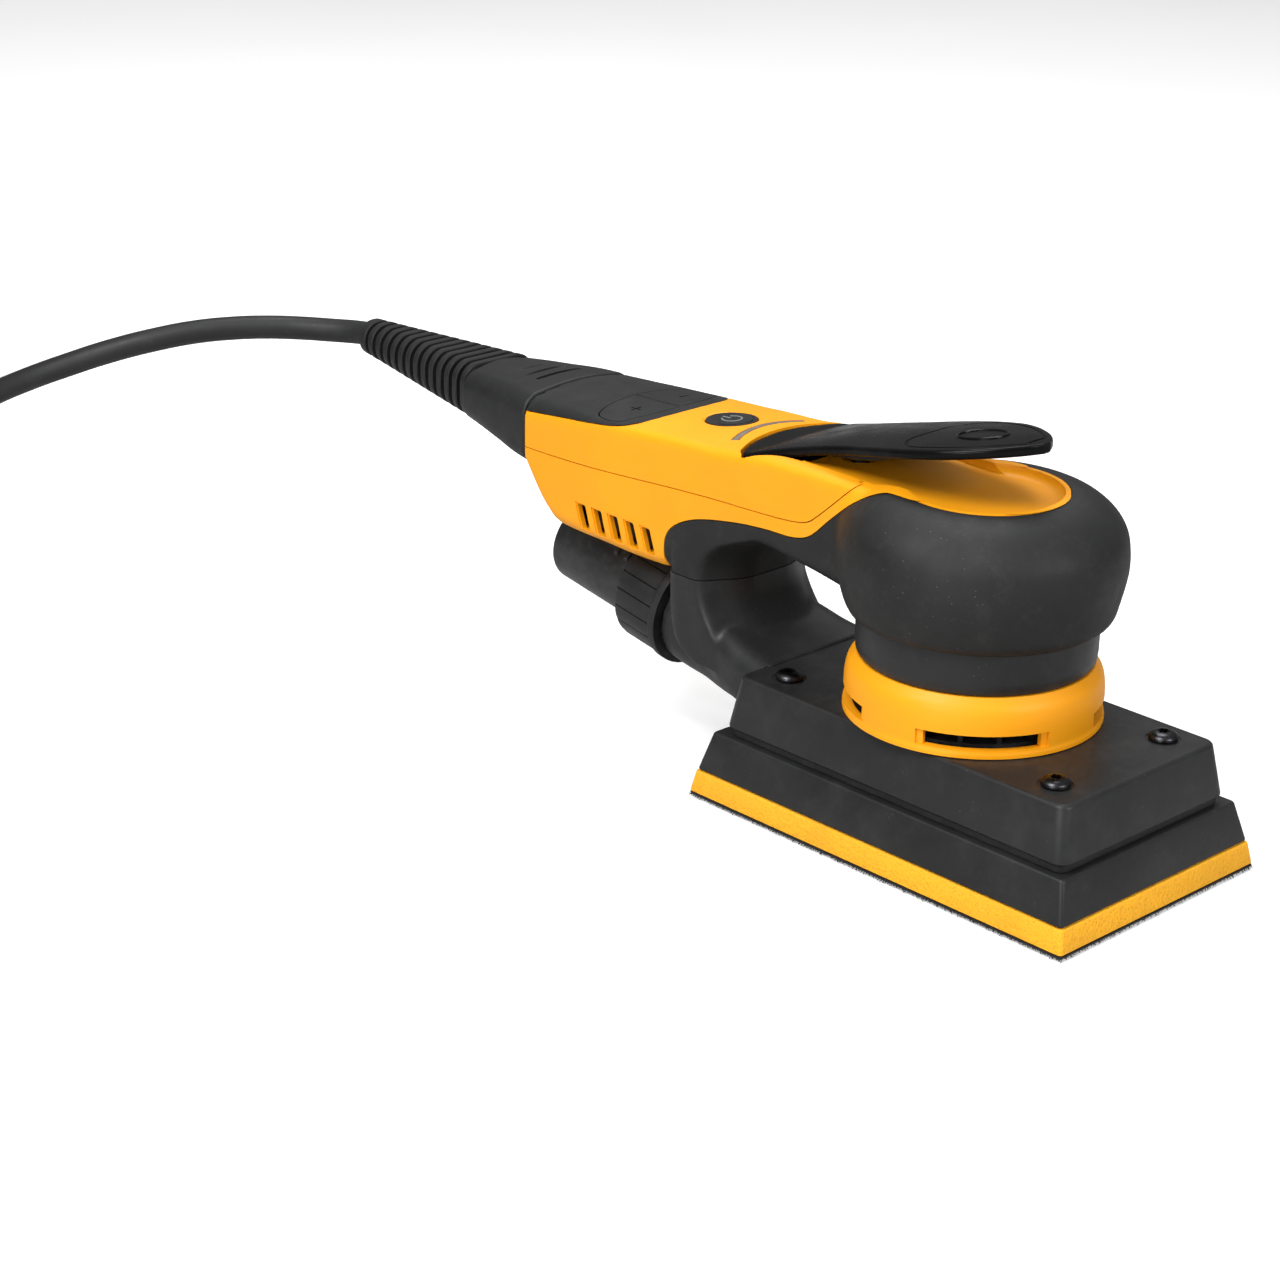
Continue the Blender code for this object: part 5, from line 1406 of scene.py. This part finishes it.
def make_collar():
    """A grip ring of twenty flats with a fine line between each two, a front flange and a chamfered rear."""
    inner, outer = COLLAR_R
    low, high = COLLAR_Y
    rows = [(low, 0.5, 1), (low + 0.3, 0.55, 1), (low + 2.3, 0.55, 1), (low + 2.7, 0.3, 1),
            (low + 3.1, 0.0, 0), (high - 1.3, 0.0, 0), (high - 0.9, -0.12, 0), (high - 0.2, -0.85, 0),
            (high, -1.15, 1)]
    sections = []
    for y, more, plain in rows:
        ring = []
        for i in range(COLLAR_FLATS):
            for turn in (-9.0, -8.5, -7.9, -4.0, 0.0, 4.0, 8.0, 8.6):
                a = math.radians(i * 360 / COLLAR_FLATS + turn)
                flat = outer * (1 - 0.5 * (1 - math.cos(math.radians(turn))))
                line = 0.75 if turn in (-9.0, -8.5) else 0.0
                r = (outer if plain else flat - line) + more
                ring.append((r * math.cos(a), r * math.sin(a), along_outlet(y)))
        sections.append(ring)
    collar = loft("grip_collar", sections)
    collar.data.transform(outlet_frame())
    combine(collar, outlet_disc("collar_bore", inner, high + 4, low - 4, 128))
    finish(collar, "black_plastic", "collar", ("outlet_collar",), 18)


# Plug in the rear inlet

def make_plug():
    """The lead's plug, flush with the body's rear, with three finger grooves across its top."""
    plug = bevelled(body_loft("plug_shell", PLUG, crown=1.2, steps=8, spacing=1.5), 0.9, 4, 50)
    combine(plug, block("plug_spigot", (-10.1, 151, 74.9), (10.1, 162, 83.1)), "UNION")
    for y, reach in ((178.0, 7.6), (172.5, 8.2), (167.0, 8.8)):
        cut = bevelled(block("grip_line", (-reach, y - 0.85, 92.2), (reach, y + 0.85, 100)), 0.3, 2)
        combine(plug, cut)
    finish(plug, "cord_rubber", "housing", ("plug_body",), 35)
    make_strain_relief()


def make_strain_relief():
    """A tapering boot of thin ribs with deep gaps and a plain ring at its end."""
    low, high = RELIEF_Y
    length = high - low
    pitch = (length - 3.6) / RELIEF_RIBS
    sections = []

    def add(y, inset):
        along = (y - low) / length
        half_x = 13.9 + (6.0 - 13.9) * along - inset
        half_z = 8.7 + (5.8 - 8.7) * along - inset
        corner = max(min(6.0, half_z - 0.2), 0.5)
        flat = rounded_rectangle(half_x, half_z, corner, 8, (0, 82.5 + 2.7 * along))
        sections.append([(x, y, z) for x, z in flat])

    for i in range(RELIEF_RIBS):
        start = low + i * pitch
        deep = 2.3 - 1.0 * i / RELIEF_RIBS
        thick = pitch * 0.56
        rib = ((0.0, deep if i else 0.4), (0.02, 0.3), (0.3, 0.02), (thick - 0.3, 0.02), (thick, 0.3),
               (thick + 0.02, deep), (pitch - 0.02, deep))
        for y, inset in rib:
            add(start + y, inset)
    for y, inset in ((0.0, 0.4), (0.3, 0.1), (3.2, 0.1), (3.6, 0.5)):
        add(low + RELIEF_RIBS * pitch + y, inset)
    boot = loft("ribbed_boot", sections)
    finish(boot, "cord_rubber", "housing", ("strain_relief",), 35)


CARRIED = {
    "bright_steel": ("pad_spindle", "spindle_bearing", "counterweight", "rotor_shaft", "lower_bearing",
                     "upper_bearing", "lever_pin", "lever_spring", "plug_pin_1", "plug_pin_2",
                     *(f"case_screw_{i}" for i in range(1, 5))),
    "aluminium": ("eccentric_hub", "bearing_bracket"),
    "magnet": ("rotor_magnet",),
    "copper_winding": ("stator",),
    "grip_rubber": ("dust_seal",),
    "black_plastic": ("cooling_fan", "bus_capacitor", "inlet_socket",
                      *(f"pad_post_{i}" for i in range(1, 5))),
    "board_green": ("circuit_board",),
}


def finish_carried_nodes():
    """The inner pieces keep the CAD's shape and get the same finishes as the rest."""
    for material, names in CARRIED.items():
        for name in names:
            NODES[name].data.materials.clear()
            NODES[name].data.materials.append(MATERIALS[material])


def main():
    make_camera()
    make_studio()
    make_cord()
    make_pad()
    make_shroud()
    make_shroud_screws()
    make_vent_ring()
    make_motor_can()
    make_duct()
    make_outlet()
    make_plug()
    shell = make_shell()
    make_grip(shell)
    make_lower_housing(shell)
    make_top_cover(shell)
    make_controls(shell)
    drop(shell)
    make_lever()
    make_plunger()
    finish_carried_nodes()


main()
